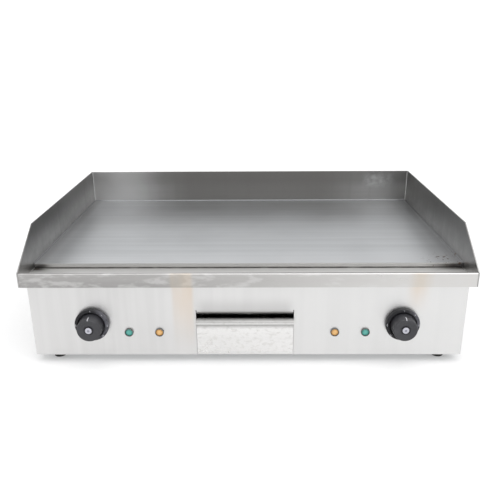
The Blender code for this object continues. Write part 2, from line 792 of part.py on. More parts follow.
def make_element(side, name, finish):
    """A tubular element laid in parallel passes under the plate, both ends bent down at the front."""
    z = PLATE_BOTTOM - GAP - ELEMENT_RADIUS
    bend = ELEMENT_PITCH / 2
    end_y = back(ELEMENT_END_BACK)
    front_y = back(ELEMENT_FRONT_BACK)
    rear_y = back(ELEMENT_REAR_BACK)
    corners = []
    for index in range(ELEMENT_PASSES):
        x = side * (ELEMENT_INNER_X + ELEMENT_PITCH * index)
        stops = [rear_y, front_y] if index % 2 else [front_y, rear_y]
        corners += [(x, y, z) for y in stops]
    first_x, last_x = corners[0][0], corners[-1][0]
    corners = (
        [(first_x, end_y, ELEMENT_END_LOW), (first_x, end_y, z)]
        + corners[1:-1]
        + [(last_x, end_y, z), (last_x, end_y, ELEMENT_END_LOW)]
    )
    turns = len(corners) - 2
    radii = [ELEMENT_END_BEND] + [bend] * (turns - 2) + [ELEMENT_END_BEND]
    path = rounded(corners, radii, 3)
    add(f"heating_element_{name}", tube(path, [ELEMENT_RADIUS] * len(path), 8), finish, smooth_angle=50)


def make_clamps(steel, zinc):
    """Two flat bars press both elements against the plate, each drawn up by a stud and nut in each half."""
    top = PLATE_BOTTOM - 2 * GAP - 2 * ELEMENT_RADIUS
    half = ELEMENT_INNER_X + ELEMENT_PITCH * (ELEMENT_PASSES - 1) + CLAMP_OVERHANG
    stud_x = ELEMENT_INNER_X + ELEMENT_PITCH * 1.5
    under = top - CLAMP_THICKNESS - GAP
    stud = [
        (0, under - CLAMP_STUD_BELOW),
        (SHAFT_RADIUS, under - CLAMP_STUD_BELOW),
        (SHAFT_RADIUS, under - CLAMP_NUT_HEIGHT),
        (CLAMP_NUT_RADIUS, under - CLAMP_NUT_HEIGHT),
        (CLAMP_NUT_RADIUS, under),
        (SHAFT_RADIUS, under),
        (SHAFT_RADIUS, PLATE_BOTTOM - GAP),
        (0, PLATE_BOTTOM - GAP),
    ]
    for clamp_back, place in zip(CLAMP_BACKS, ("front", "rear")):
        y = back(clamp_back)
        bar = block((-half, y - CLAMP_HALF_WIDTH, top - CLAMP_THICKNESS), (half, y + CLAMP_HALF_WIDTH, top))
        clamp = add(f"clamp_bar_{place}", bar, steel)
        holes = [hole(side * stud_x, y, top, SHAFT_RADIUS + HOLE_CLEARANCE, 0.02, "Z") for side in (-1, 1)]
        combine(clamp, joined(holes), "DIFFERENCE", f"clamp_holes_{place}")
        for side, name in ((-1, "left"), (1, "right")):
            add(f"clamp_stud_{name}_{place}", turned(stud, 12), zinc, (side * stud_x, y, 0), smooth_angle=40)


def make_insulation(blanket, sheet_steel):
    shield_low = (-SHIELD_HALF_WIDTH, back(SHIELD_FRONT_BACK), SHIELD_FLOOR)
    shield_high = (SHIELD_HALF_WIDTH, REAR_Y - SHEET - SHIELD_CLEARANCE, SHIELD_TOP)
    add("heat_shield", open_tray(shield_low, shield_high, SHEET), sheet_steel)
    clear = SHEET + SHIELD_CLEARANCE
    low = (shield_low[0] + clear, shield_low[1] + clear, SHIELD_FLOOR + SHEET + GAP)
    high = (shield_high[0] - clear, shield_high[1] - clear, BLANKET_TOP)
    bevel(add("insulation_blanket", block(low, high), blanket), BLANKET_EDGE)


# The wiring

def make_wiring(finishes):
    """The terminal block on the base plate and one loom to each thermostat."""
    floor = BODY_BOTTOM + SHEET + GAP
    left = GLAND_X - POLES * POLE_PITCH / 2
    deck_z, top_z = floor + BLOCK_DECK, floor + BLOCK_HEIGHT
    outline = [(left, floor)]
    for pole in range(POLES + 1):
        x = left + pole * POLE_PITCH
        outline += [(x, top_z), (x + POLE_BARRIER, top_z)]
        if pole < POLES:
            outline += [(x + POLE_BARRIER, deck_z), (x + POLE_PITCH, deck_z)]
    outline.append((left + POLES * POLE_PITCH + POLE_BARRIER, floor))
    block_front, block_rear = back(BLOCK_FRONT_BACK), back(BLOCK_REAR_BACK)
    add("terminal_block", prism(outline, "Y", block_front, block_rear), finishes["ceramic"])
    z = floor + LOOM_RADIUS + LOOM_LIFT
    end_z = CONTROL_Z - LOOM_BELOW_SHAFT
    case_end = PANEL_Y + SHEET + 2 * GAP + THERMOSTAT_DEPTH
    turn_y = block_front - LOOM_RUN
    for side, name in ((-1, "left"), (1, "right")):
        start_x = GLAND_X + side * LOOM_START_X
        x = control_place(side, CONTROL_X + LOOM_ASIDE)
        corners = [
            (start_x, block_front - GAP, z),
            (start_x, turn_y, z),
            (x, turn_y - LOOM_RUN * (side > 0), z),
            (x, case_end + LOOM_RISE_START, z),
            (x, case_end + LOOM_RISE_END, end_z),
            (x, case_end, end_z),
        ]
        path = rounded(corners, LOOM_BENDS, 4)
        loom = tube(path, [LOOM_RADIUS] * len(path), 8)
        add(f"wire_loom_{name}", loom, finishes["wire"], smooth_angle=50)


def make_gland(finishes):
    body = [
        (GLAND_BORE, -GLAND_INNER_LENGTH),
        (GLAND_THREAD, -GLAND_INNER_LENGTH),
        (GLAND_THREAD, GAP),
        (GLAND_OUTLINE[0][0], GAP),
        *GLAND_OUTLINE,
        (GLAND_THREAD, GLAND_LENGTH),
        (GLAND_BORE, GLAND_LENGTH),
    ]
    place = (GLAND_X, REAR_Y, GLAND_Z)
    shape = turned(body, SMALL_ROUND, closed=True)
    add("cable_gland", shape, finishes["nylon"], place, LOOKING_BACK, 40)
    start = -(SHEET + GAP)
    nut = nut_shape(GLAND_NUT_FLATS, GLAND_THREAD + GAP, start - GLAND_NUT_HEIGHT, start)
    add("gland_nut", nut, finishes["nylon"], place, LOOKING_BACK)


def make_earth_stud(finishes):
    place = (EARTH_X, REAR_Y, EARTH_Z)
    stud = [
        (0, -EARTH_HEAD_DEPTH),
        (EARTH_HEAD_RADIUS, -EARTH_HEAD_DEPTH),
        (EARTH_HEAD_RADIUS, -(SHEET + GAP)),
        (SHAFT_RADIUS, -(SHEET + GAP)),
        (SHAFT_RADIUS, EARTH_LENGTH),
        (0, EARTH_LENGTH),
    ]
    add("earth_stud", turned(stud, SMALL_ROUND), finishes["zinc"], place, LOOKING_BACK, 40)
    nut = nut_shape(EARTH_NUT_FLATS, SHAFT_RADIUS + GAP, GAP, GAP + EARTH_NUT_HEIGHT)
    add("earth_nut", nut, finishes["brass"], place, LOOKING_BACK)


# The feet

def make_feet(rubber, zinc):
    top = FOOT_HEIGHT - GAP
    foot = [
        (FOOT_WELL_RADIUS, 0),
        (FOOT_RADIUS - FOOT_SOLE_CORNER[0], 0),
        (FOOT_RADIUS - FOOT_TAPER, FOOT_SOLE_CORNER[1]),
        (FOOT_RADIUS, top - FOOT_SHOULDER),
        (FOOT_RADIUS - FOOT_TAPER, top),
        (FOOT_BORE, top),
        (FOOT_BORE, FOOT_WELL_DEPTH),
        (FOOT_WELL_RADIUS, FOOT_WELL_DEPTH),
    ]
    screw = [
        (0, FOOT_SCREW_HEAD[0][1]),
        *FOOT_SCREW_HEAD,
        (FOOT_SCREW_RADIUS, FOOT_SCREW_HEAD[-1][1]),
        (FOOT_SCREW_RADIUS, FOOT_SCREW_TOP),
        (0, FOOT_SCREW_TOP),
    ]
    for side, side_name in ((-1, "left"), (1, "right")):
        for foot_back, place in zip(FOOT_BACKS, ("front", "rear")):
            spot = (side * FOOT_X, back(foot_back), 0)
            shape = turned(foot, SMALL_ROUND, closed=True)
            add(f"foot_{side_name}_{place}", shape, rubber, spot, smooth_angle=40)
            add(f"foot_screw_{side_name}_{place}", turned(screw, 12), zinc, spot, smooth_angle=40)


def main():
    for old in list(bpy.data.objects):
        bpy.data.objects.remove(old)
    stainless = material("stainless_body", (0.78, 0.77, 0.75), 0.35, 1.0)
    guard_steel = material("stainless_guard", (0.45, 0.45, 0.45), 0.35, 1.0)
    plate_steel = material("plate_steel", (0.50, 0.50, 0.49), 0.38, 1.0)
    finishes = {
        "knob": material("knob_plastic", (0.035, 0.035, 0.038), 0.38, 0.0),
        "bezel": material("bezel_plastic", (0.030, 0.030, 0.033), 0.30, 0.0),
        "cap": material("cap_plastic", (0.62, 0.62, 0.66), 0.40, 0.0),
        "zinc": material("zinc_steel", (0.60, 0.60, 0.60), 0.40, 1.0),
        "ceramic": material("terminal_plastic", (0.75, 0.73, 0.68), 0.60, 0.0),
        "copper": material("copper", (0.72, 0.42, 0.30), 0.40, 1.0),
        "wire": material("wire_sleeve", (0.10, 0.10, 0.11), 0.60, 0.0),
        "nylon": material("gland_nylon", (0.04, 0.04, 0.04), 0.50, 0.0),
        "brass": material("brass", (0.70, 0.55, 0.25), 0.35, 1.0),
    }
    green = material("lens_green", (0.05, 0.35, 0.28), 0.25, 0.0)
    amber = material("lens_amber", (0.80, 0.42, 0.10), 0.25, 0.0)
    sheath = material("element_sheath", (0.20, 0.19, 0.18), 0.50, 1.0)
    blanket = material("mineral_wool", (0.80, 0.78, 0.72), 0.95, 0.0)
    galvanised = material("galvanised_steel", (0.55, 0.57, 0.58), 0.45, 1.0)
    rubber = material("foot_rubber", (0.02, 0.02, 0.02), 0.80, 0.0)

    make_plate(plate_steel)
    make_guards(guard_steel)
    make_gutter(stainless)
    make_drain_spout(stainless)
    make_front_panel(stainless)
    make_side_panels(stainless)
    make_rear_panel(stainless)
    make_base_plate(galvanised)
    make_drawer(stainless)
    make_drawer_rails(galvanised)
    for side, name in ((-1, "left"), (1, "right")):
        make_control(side, name, finishes)
        make_lamp(control_place(side, GREEN_LAMP_X), f"green_{name}", green, finishes["nylon"])
        make_lamp(control_place(side, AMBER_LAMP_X), f"amber_{name}", amber, finishes["nylon"])
        make_element(side, name, sheath)
    make_clamps(galvanised, finishes["zinc"])
    make_insulation(blanket, galvanised)
    make_wiring(finishes)
    make_gland(finishes)
    make_earth_stud(finishes)
    make_feet(rubber, finishes["zinc"])


main()
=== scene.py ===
"""The looks of the flat top griddle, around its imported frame. Metres, +X right, +Y back, +Z up."""

import json
import math
import random

import bmesh
import bpy
from mathutils import Matrix, Vector


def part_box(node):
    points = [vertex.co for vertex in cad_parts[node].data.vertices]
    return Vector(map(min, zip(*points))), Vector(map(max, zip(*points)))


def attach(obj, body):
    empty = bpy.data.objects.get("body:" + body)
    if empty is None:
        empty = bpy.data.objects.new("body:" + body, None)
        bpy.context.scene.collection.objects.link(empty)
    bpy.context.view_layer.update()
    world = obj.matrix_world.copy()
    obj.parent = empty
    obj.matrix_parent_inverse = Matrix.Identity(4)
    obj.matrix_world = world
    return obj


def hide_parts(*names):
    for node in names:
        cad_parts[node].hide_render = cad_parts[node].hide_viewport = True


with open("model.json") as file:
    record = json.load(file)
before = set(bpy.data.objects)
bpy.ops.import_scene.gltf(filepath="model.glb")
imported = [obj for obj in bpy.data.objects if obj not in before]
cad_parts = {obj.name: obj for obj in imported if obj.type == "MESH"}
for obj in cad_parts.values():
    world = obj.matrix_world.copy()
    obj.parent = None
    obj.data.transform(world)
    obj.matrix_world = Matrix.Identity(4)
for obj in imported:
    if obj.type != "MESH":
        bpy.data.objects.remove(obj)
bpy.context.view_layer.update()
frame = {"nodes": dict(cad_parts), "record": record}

NODES = frame["nodes"]
SIDES = ((-1, "left"), (1, "right"))
PLATE_LOW, PLATE_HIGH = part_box("griddle_plate")
RIM_LOW, RIM_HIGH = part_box("front_gutter")
REAR_LOW, REAR_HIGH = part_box("splash_guard_rear")
PANEL_LOW, PANEL_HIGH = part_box("front_panel")
DRAWER_LOW, DRAWER_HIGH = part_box("drawer_front")
BACK_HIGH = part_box("rear_panel")[1]
PANEL_Y = PANEL_LOW.y
REAR_Y = BACK_HIGH.y
GUARD_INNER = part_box("splash_guard_right")[0].x
GAP = 0.0003    # between neighbouring pieces
BEYOND = 0.1    # for a band with one end well outside the object
# Near black: burnt grease and painted shade at the foot of the plate's front edge.
SOOT_AND_SHADE = (0.035, 0.028, 0.022)


# Mesh helpers

def solid_from_rings(bm, rings, closed=False, capped=False):
    """Joins rings of vertices, each to the next. A ring of one vertex is a point."""
    following = rings[1:] + rings[:1] if closed else rings[1:]
    for ring, other in zip(rings, following):
        count = max(len(ring), len(other))
        for index in range(count):
            quad = [
                ring[index % len(ring)],
                ring[(index + 1) % len(ring)],
                other[(index + 1) % len(other)],
                other[index % len(other)],
            ]
            bm.faces.new(list(dict.fromkeys(quad)))
    if capped:
        bm.faces.new(rings[0])
        bm.faces.new(rings[-1])
    bmesh.ops.recalc_face_normals(bm, faces=bm.faces)


def turned(profile, segments, closed=False, radius_at=None):
    """A solid of revolution about Z from (radius, height) points.

    radius_at(radius, angle) shapes flutes or flats.
    """
    bm = bmesh.new()
    rings = []
    for radius, height in profile:
        if radius == 0:
            rings.append([bm.verts.new((0, 0, height))])
            continue
        ring = []
        for index in range(segments):
            angle = 2 * math.pi * index / segments
            reach = radius_at(radius, angle) if radius_at else radius
            ring.append(bm.verts.new((reach * math.cos(angle), reach * math.sin(angle), height)))
        rings.append(ring)
    solid_from_rings(bm, rings, closed)
    return bm


def arc(centre_radius, centre_height, radius, start, end, steps):
    """Points of a (radius, height) profile along an arc. Angles in degrees, 0 is outwards and 90 is up."""
    points = []
    for step in range(steps + 1):
        angle = math.radians(start + (end - start) * step / steps)
        points.append((centre_radius + radius * math.cos(angle), centre_height + radius * math.sin(angle)))
    return points


def box_shape(low, high):
    """A box between two corners."""
    bm = bmesh.new()
    rings = []
    for z in (low[2], high[2]):
        corners = ((low[0], low[1]), (high[0], low[1]), (high[0], high[1]), (low[0], high[1]))
        rings.append([bm.verts.new((x, y, z)) for x, y in corners])
    solid_from_rings(bm, rings, capped=True)
    return bm


def joined(shapes):
    """Several shapes as one mesh. Each is a bmesh, or a (bmesh, matrix) pair."""
    whole = bmesh.new()
    for entry in shapes:
        shape, place = entry if isinstance(entry, tuple) else (entry, Matrix())
        loose = bpy.data.meshes.new("loose")
        shape.to_mesh(loose)
        loose.transform(place)
        whole.from_mesh(loose)
        bpy.data.meshes.remove(loose)
    return whole


def looking(direction, spot):
    """The place of something whose own Z points forward or back, out of a panel."""
    turn = {"forward": math.pi / 2, "back": -math.pi / 2}[direction]
    return Matrix.Translation(spot) @ Matrix.Rotation(turn, 4, "X")


def new_object(name, data):
    """An object in the scene."""
    made = bpy.data.objects.new(name, data)
    bpy.context.scene.collection.objects.link(made)
    return made


def final_shape(loose):
    """An object's mesh after its modifiers, as a bmesh."""
    bpy.context.view_layer.update()
    mesh = bpy.data.meshes.new_from_object(loose.evaluated_get(bpy.context.evaluated_depsgraph_get()))
    bm = bmesh.new()
    bm.from_mesh(mesh)
    bpy.data.meshes.remove(mesh)
    return bm


def piece(name, shape, slot, body="chassis", place=None, smooth=35, replaces=()):
    """Makes an object of a bmesh. Edges sharper than smooth degrees stay sharp."""
    mesh = bpy.data.meshes.new(name)
    shape.to_mesh(mesh)
    shape.free()
    mesh.shade_smooth()
    mesh.set_sharp_from_angle(angle=math.radians(smooth))
    mesh.materials.append(FINISHES[slot])
    made = new_object(name, mesh)
    if place is not None:
        made.matrix_world = place
    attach(made, body)
    if replaces:
        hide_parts(*replaces)
    return made


# Material helpers

class Finish:
    """A procedural material on a Principled shader. Patterns follow the object's own coordinates."""

    def __init__(self, name, **sockets):
        """sockets are the shader's own, with _ for a space."""
        self.material = bpy.data.materials.new(name)
        self.material.use_nodes = True
        self.tree = self.material.node_tree
        self.shader = self.tree.nodes["Principled BSDF"]
        for socket, value in sockets.items():
            self.shader.inputs[socket.replace("_", " ")].default_value = value
        self.coords = self.node("TexCoord").outputs["Object"]
        self.axes = self.node("SeparateXYZ", [self.coords]).outputs
        self.x, self.y, self.z = self.axes

    def node(self, kind, inputs=(), **settings):
        """A shader node with its first inputs fed."""
        made = self.tree.nodes.new("ShaderNode" + kind)
        for key, value in settings.items():
            setattr(made, key, value)
        for index, value in enumerate(inputs):
            self.feed(made.inputs[index], value)
        return made

    def feed(self, socket, value):
        """Links a socket to another node's output, or sets it. None leaves it alone."""
        if isinstance(value, bpy.types.NodeSocket):
            self.tree.links.new(value, socket)
        elif value is not None:
            socket.default_value = value

    def noise(self, scale, detail, distortion=0.0, shift=0.0):
        """Noise from 0 to 1. scale is one number, or one for each axis, in cycles for each metre."""
        scale = scale if isinstance(scale, tuple) else (scale,) * 3
        mapping = self.node("Mapping", [self.coords, (shift, shift, shift), (0, 0, 0), scale])
        texture = self.node("TexNoise", [mapping.outputs[0]])
        texture.inputs["Scale"].default_value = 1.0
        texture.inputs["Detail"].default_value = detail
        texture.inputs["Distortion"].default_value = distortion
        return texture.outputs[0]

    def spread(self, value, start, end, low=0.0, high=1.0):
        """Takes start..end of a value to low..high, smoothly."""
        made = self.node("MapRange", [value, start, end, low, high], interpolation_type="SMOOTHSTEP")
        return made.outputs[0]

    def math(self, operation, *values):
        """One Math node. Most operations take two values and ignore a third."""
        return self.node("Math", values, operation=operation).outputs[0]

    def band(self, axis, start, end, soft):
        """1 between two places along an axis, fading over soft metres."""
        place = self.axes["XYZ".index(axis)]
        rise = self.spread(place, start - soft, start + soft)
        fall = self.spread(place, end - soft, end + soft, 1.0, 0.0)
        return self.times(rise, fall)

    def from_axis(self):
        """Metres from the object's own Z axis."""
        flat = self.node("CombineXYZ", [self.x, self.y]).outputs[0]
        return self.node("VectorMath", [flat], operation="LENGTH").outputs["Value"]

    def times(self, *masks):
        """The product of masks and shares."""
        whole = masks[0]
        for mask in masks[1:]:
            whole = self.math("MULTIPLY", whole, mask)
        return whole

    def mix(self, share, first, second):
        """The first colour where share is 0, the second where it is 1."""
        made = self.node("Mix", data_type="RGBA")
        self.feed(made.inputs[0], share)
        self.feed(made.inputs[6], tone(first))
        self.feed(made.inputs[7], tone(second))
        return made.outputs[2]

    def vary(self, base, *parts):
        """base plus each (pattern, amount), where a pattern's middle of 0.5 adds nothing."""
        whole = base
        for pattern, amount in parts:
            offset = self.math("MULTIPLY_ADD", pattern, amount, -0.5 * amount)
            whole = self.math("ADD", whole, offset)
        return whole

    def relief(self, *layers):
        """Bump from each (height, strength, depth in metres) layer."""
        normal = None
        for height, strength, depth in layers:
            made = self.node("Bump")
            made.inputs["Strength"].default_value = strength
            made.inputs["Distance"].default_value = depth
            self.feed(made.inputs["Height"], height)
            self.feed(made.inputs["Normal"], normal)
            normal = made.outputs[0]
        return normal

    def done(self, colour, roughness, normal=None):
        """Feeds the shader and gives the material."""
        self.feed(self.shader.inputs["Base Color"], tone(colour))
        self.feed(self.shader.inputs["Roughness"], roughness)
        self.feed(self.shader.inputs["Normal"], normal)
        return self.material


def tone(value):
    """A colour as a socket takes it: a grey number, three numbers or another node's output."""
    if isinstance(value, (int, float)):
        return (value, value, value, 1)
    if isinstance(value, tuple) and len(value) == 3:
        return (*value, 1)
    return value


def scaled(colour, share):
    """A colour made darker or brighter."""
    return tuple(channel * share for channel in colour)


def brushed_layers(made, colour, brush, contrast, smudge, shift=0.0):
    """The grain, wider streaks and smudges of brushed sheet: its colour, then the three patterns."""
    fine, wide = [900.0] * 3, [70.0] * 3
    along = "XYZ".index(brush)
    fine[along], wide[along] = 9.0, 1.5
    grain = made.noise(tuple(fine), 2, shift=shift)
    streak = made.noise(tuple(wide), 3, shift=shift)
    cloud = made.noise(9.0, 4, 0.15, shift)
    dark, light = scaled(colour, 1 - contrast), scaled(colour, 1 + contrast / 2)
    base = made.mix(made.spread(streak, 0.3, 0.7), dark, light)
    smeared = made.spread(cloud, 0.42, 0.72, 0.0, smudge * 4)
    base = made.mix(smeared, base, scaled(colour, 0.72))
    return base, grain, streak, cloud


# Metals

def plate_steel():
    """Ground steel, blotchy with heat, wiped brighter in front, with residue in one corner."""
    made = Finish("plate_steel", Metallic=1.0)
    ground, heated, wiped = (0.55, 0.565, 0.58), (0.46, 0.465, 0.47), (0.70, 0.71, 0.725)
    edge_steel, shaded, seam_steel = (0.42, 0.418, 0.41), (0.20, 0.20, 0.21), (0.13, 0.13, 0.135)
    burnt_brown = (0.10, 0.055, 0.030)
    base, grain, _, cloud = brushed_layers(made, ground, "X", 0.06, 0.04)
    heat = made.noise(5.0, 3, 0.2, 7.3)
    base = made.mix(made.spread(heat, 0.45, 0.75, 0.0, 0.35), base, heated)
    front = made.band("Y", PLATE_LOW.y - 0.05, PLATE_LOW.y + 0.045, 0.035)
    base = made.mix(made.times(front, 0.45), base, wiped)
    edge = made.spread(made.y, PLATE_LOW.y + 0.0006, PLATE_LOW.y + 0.0014, 1.0, 0.0)
    base = made.mix(edge, base, edge_steel)
    # Burnt grease and painted shade along the foot of the front edge, wider at the ends.
    base = made.mix(soot_and_shade_edge(made), base, SOOT_AND_SHADE)
    width, soft, past = 0.014, 0.010, 0.02
    for beside in (
        made.band("X", PLATE_LOW.x - past, PLATE_LOW.x + width, soft),
        made.band("X", PLATE_HIGH.x - width, PLATE_HIGH.x + past, soft),
    ):
        base = made.mix(made.times(beside, 0.45), base, shaded)
    seam = made.spread(made.z, PLATE_HIGH.z + 0.0001, PLATE_HIGH.z + 0.0003, 0.0, 0.75)
    base = made.mix(seam, base, seam_steel)
    specks = made.spread(made.noise(170.0, 3, 0.5, 2.0), 0.60, 0.70)
    corner = made.times(
        made.band("X", PLATE_HIGH.x - 0.055, PLATE_HIGH.x + BEYOND, 0.018),
        made.band("Y", PLATE_LOW.y - BEYOND, PLATE_LOW.y + 0.045, 0.020),
    )
    residue = made.times(specks, corner)
    base = made.mix(residue, base, burnt_brown)
    roughness = made.vary(0.50, (grain, 0.10), (cloud, 0.14), (residue, 0.25))
    normal = made.relief((grain, 0.05, 0.0002), (cloud, 0.03, 0.004), (residue, 0.3, 0.0004))
    return made.done(base, roughness, normal)


def guard_steel():
    """Brushed sheet, darker towards the top and across the rear guard's middle, with painted shade on the
    left guard's upper part and a patch wiped at the right rear.
    """
    made = Finish("guard_steel", Metallic=1.0)
    clean, smeared, bright = (0.46, 0.455, 0.448), (0.34, 0.335, 0.328), (0.62, 0.615, 0.61)
    darker_top, painted_shade_left, darker_rear_middle = (0.165, 0.162, 0.158), (0.085, 0.084, 0.082), (0.125, 0.120, 0.113)
    foot_steel, polished = (0.14, 0.135, 0.128), (0.62, 0.62, 0.62)
    base, grain, _, cloud = brushed_layers(made, clean, "X", 0.12, 0.08, 3.1)
    runs = made.noise((60.0, 60.0, 2.0), 2, 0.2, 1.7)
    base = made.mix(made.spread(runs, 0.5, 0.72, 0.0, 0.45), base, smeared)
    top = REAR_HIGH.z - 0.01
    high = made.spread(made.z, PLATE_HIGH.z - 0.01, top, 0.0, 0.78)
    base = made.mix(high, base, darker_top)
    # Painted shade on the left guard's upper part.
    upper = made.spread(made.z, PLATE_HIGH.z + 0.025, top, 0.0, 0.60)
    left = made.times(upper, made.spread(made.x, PLATE_LOW.x - 0.0002, PLATE_LOW.x + 0.0006, 1.0, 0.0))
    base = made.mix(left, base, painted_shade_left)
    rear = made.band("Y", REAR_LOW.y - 0.0005, REAR_LOW.y + 0.0008, 0.0004)
    middle = made.times(rear, made.band("X", REAR_LOW.x + 0.16, REAR_HIGH.x - 0.12, 0.08))
    base = made.mix(made.times(middle, 0.80), base, darker_rear_middle)
    foot = made.times(rear, made.spread(made.z, PLATE_HIGH.z, PLATE_HIGH.z + 0.035, 0.45, 0.0))
    base = made.mix(foot, base, foot_steel)
    corner = made.times(rear, made.band("X", REAR_LOW.x - BEYOND, REAR_LOW.x + 0.11, 0.06))
    base = made.mix(made.times(corner, 0.70), base, bright)
    wiped = made.times(
        made.band("X", REAR_HIGH.x - 0.092, REAR_HIGH.x - 0.036, 0.016),
        rear,
        made.band("Z", REAR_HIGH.z - 0.034, REAR_HIGH.z - 0.008, 0.010),
        made.spread(made.noise(85.0, 5, 0.2), 0.32, 0.68, 0.25, 1.0),
    )
    base = made.mix(made.times(wiped, 0.48), base, polished)
    roughness = made.vary(0.34, (grain, 0.12), (cloud, 0.16), (runs, 0.08))
    return made.done(base, roughness, made.relief((grain, 0.05, 0.0002), (cloud, 0.04, 0.005)))


def rim_steel():
    """The folded rim and trough: brushed along, smudged by hands and cloths, with painted light brighter
    towards the right, a trough floor painted pale with painted shade by the plate, painted shade on the
    crest, and burnt grease and painted shade at the plate's foot.
    """
    made = Finish("rim_steel", Metallic=1.0)
    dull, bright, smudged = (0.35, 0.343, 0.338), (0.70, 0.69, 0.675), (0.62, 0.615, 0.61)
    stained, crest_painted_shade = (0.56, 0.46, 0.34), (0.28, 0.278, 0.272)
    trough_painted_light, trough_painted_shade = (0.98, 0.975, 0.96), (0.66, 0.655, 0.645)
    base, grain, streak, cloud = brushed_layers(made, dull, "X", 0.12, 0.08, 5.9)
    wipes = made.noise((34.0, 80.0, 95.0), 5, 0.15, 4.4)
    # Painted light: brighter towards the right.
    worn = made.spread(made.x, -0.25, 0.36, 0.05, 0.75)
    base = made.mix(worn, base, bright)
    base = made.mix(made.spread(wipes, 0.50, 0.66, 0.0, 0.45), base, smudged)
    base = made.mix(made.times(warm_runs(made), 0.8), base, stained)
    # The trough's floor, painted pale: painted light brightest by the rim, painted shade towards the plate.
    inside = made.spread(made.y, RIM_LOW.y + 0.0050, RIM_LOW.y + 0.0062)
    across = made.spread(made.y, RIM_LOW.y + 0.010, PLATE_LOW.y - 0.012)
    base = made.mix(inside, base, made.mix(across, trough_painted_light, trough_painted_shade))
    # Painted shade on the crest, stronger towards the right, dimming its highlight.
    crest = made.spread(made.z, RIM_HIGH.z - 0.0012, RIM_HIGH.z - 0.0002)
    to_right = made.spread(made.x, -0.20, 0.05, 0.30, 0.92)
    base = made.mix(made.times(crest, to_right), base, crest_painted_shade)
    # Burnt grease and painted shade at the foot of the plate's front edge.
    soot_and_shade = soot_and_shade_edge(made)
    base = made.mix(soot_and_shade, base, SOOT_AND_SHADE)
    roughness = made.vary(0.33, (grain, 0.12), (wipes, 0.18), (streak, 0.06))
    roughness = made.math("ADD", roughness, made.times(inside, 0.22))
    roughness = made.math("ADD", roughness, made.times(soot_and_shade, 0.3))
    return made.done(base, roughness, made.relief((grain, 0.05, 0.0002), (cloud, 0.04, 0.004)))


def soot_and_shade_edge(made):
    """Burnt grease and painted shade: a dark line at the foot of the plate's front edge, where it meets the
    trough, wider at the trough's ends.
    """
    patches = made.noise((40.0, 220.0, 220.0), 4, 0.5, 3.3)
    ragged = made.spread(patches, 0.25, 0.60, 0.40, 0.90)
    along = made.band("Y", PLATE_LOW.y - 0.0016, PLATE_LOW.y + 0.0006, 0.0012)
    below_edge = made.spread(made.z, PLATE_HIGH.z - 0.0016, PLATE_HIGH.z - 0.0004, 0.96, 0.0)
    left = made.times(
        made.band("X", PLATE_LOW.x - BEYOND, PLATE_LOW.x + 0.020, 0.014),
        made.spread(made.y, PLATE_LOW.y - 0.022, PLATE_LOW.y - 0.003),
    )
    right = made.times(
        made.band("X", PLATE_HIGH.x - 0.036, PLATE_HIGH.x + BEYOND, 0.034),
        made.spread(made.y, PLATE_LOW.y - 0.015, PLATE_LOW.y - 0.001),
    )
    ends = made.times(made.math("MAXIMUM", left, right), below_edge)
    low_down = made.spread(made.z, PLATE_LOW.z + 0.0008, PLATE_LOW.z + 0.0030, 0.92, 0.0)
    ends = made.times(ends, made.spread(patches, 0.20, 0.50, 0.75, 1.0))
    return made.math("MAXIMUM", made.times(along, low_down, ragged), ends)


def warm_runs(made):
    """Two warm stains running down from the rim, left of the drawer and above the right knob."""
    ragged = made.spread(made.noise((30.0, 30.0, 6.0), 3, 0.2, 9.1), 0.25, 0.65, 0.5, 1.0)
    top = PANEL_HIGH.z + 0.01
    runs = []
    for left, right, soft, low, strength in (
        (-0.122, -0.088, 0.004, 0.0, 0.50),
        (0.262, 0.288, 0.012, 0.08, 0.55),
    ):
        fade = made.spread(made.z, low, top, 0.0, strength)
        runs.append(made.times(made.band("X", left, right, soft), fade, ragged))
    return made.math("ADD", *runs)


def body_steel():
    """Sheet brushed upright, with painted light brighter to the right, warm stains, and painted shade on the
    panel over the drawer's opening.
    """
    made = Finish("body_steel", Metallic=1.0)
    left_steel, right_painted_light = (0.645, 0.641, 0.637), (0.725, 0.725, 0.72)
    dull, stained = (0.42, 0.417, 0.412), (0.66, 0.50, 0.35)
    base, grain, streak, cloud = brushed_layers(made, left_steel, "Z", 0.035, 0.03, 2.2)
    # Painted light: brighter to the right.
    across = made.spread(made.x, -0.30, 0.30, 0.0, 0.6)
    base = made.mix(across, base, right_painted_light)
    facing = made.band("Y", PANEL_LOW.y - 0.01, PANEL_LOW.y + 0.004, 0.001)
    # Painted shade on the panel just above the drawer's opening.
    shade_above_drawer = made.times(
        facing,
        made.band("X", DRAWER_LOW.x + 0.004, DRAWER_HIGH.x - 0.004, 0.012),
        made.spread(made.z, DRAWER_HIGH.z + 0.010, DRAWER_HIGH.z + 0.042, 0.55, 0.0),
    )
    base = made.mix(shade_above_drawer, base, dull)
    base = made.mix(made.times(warm_runs(made), facing), base, stained)
    roughness = made.vary(0.36, (grain, 0.10), (cloud, 0.12), (streak, 0.05))
    return made.done(base, roughness, made.relief((grain, 0.04, 0.0002), (cloud, 0.03, 0.004)))


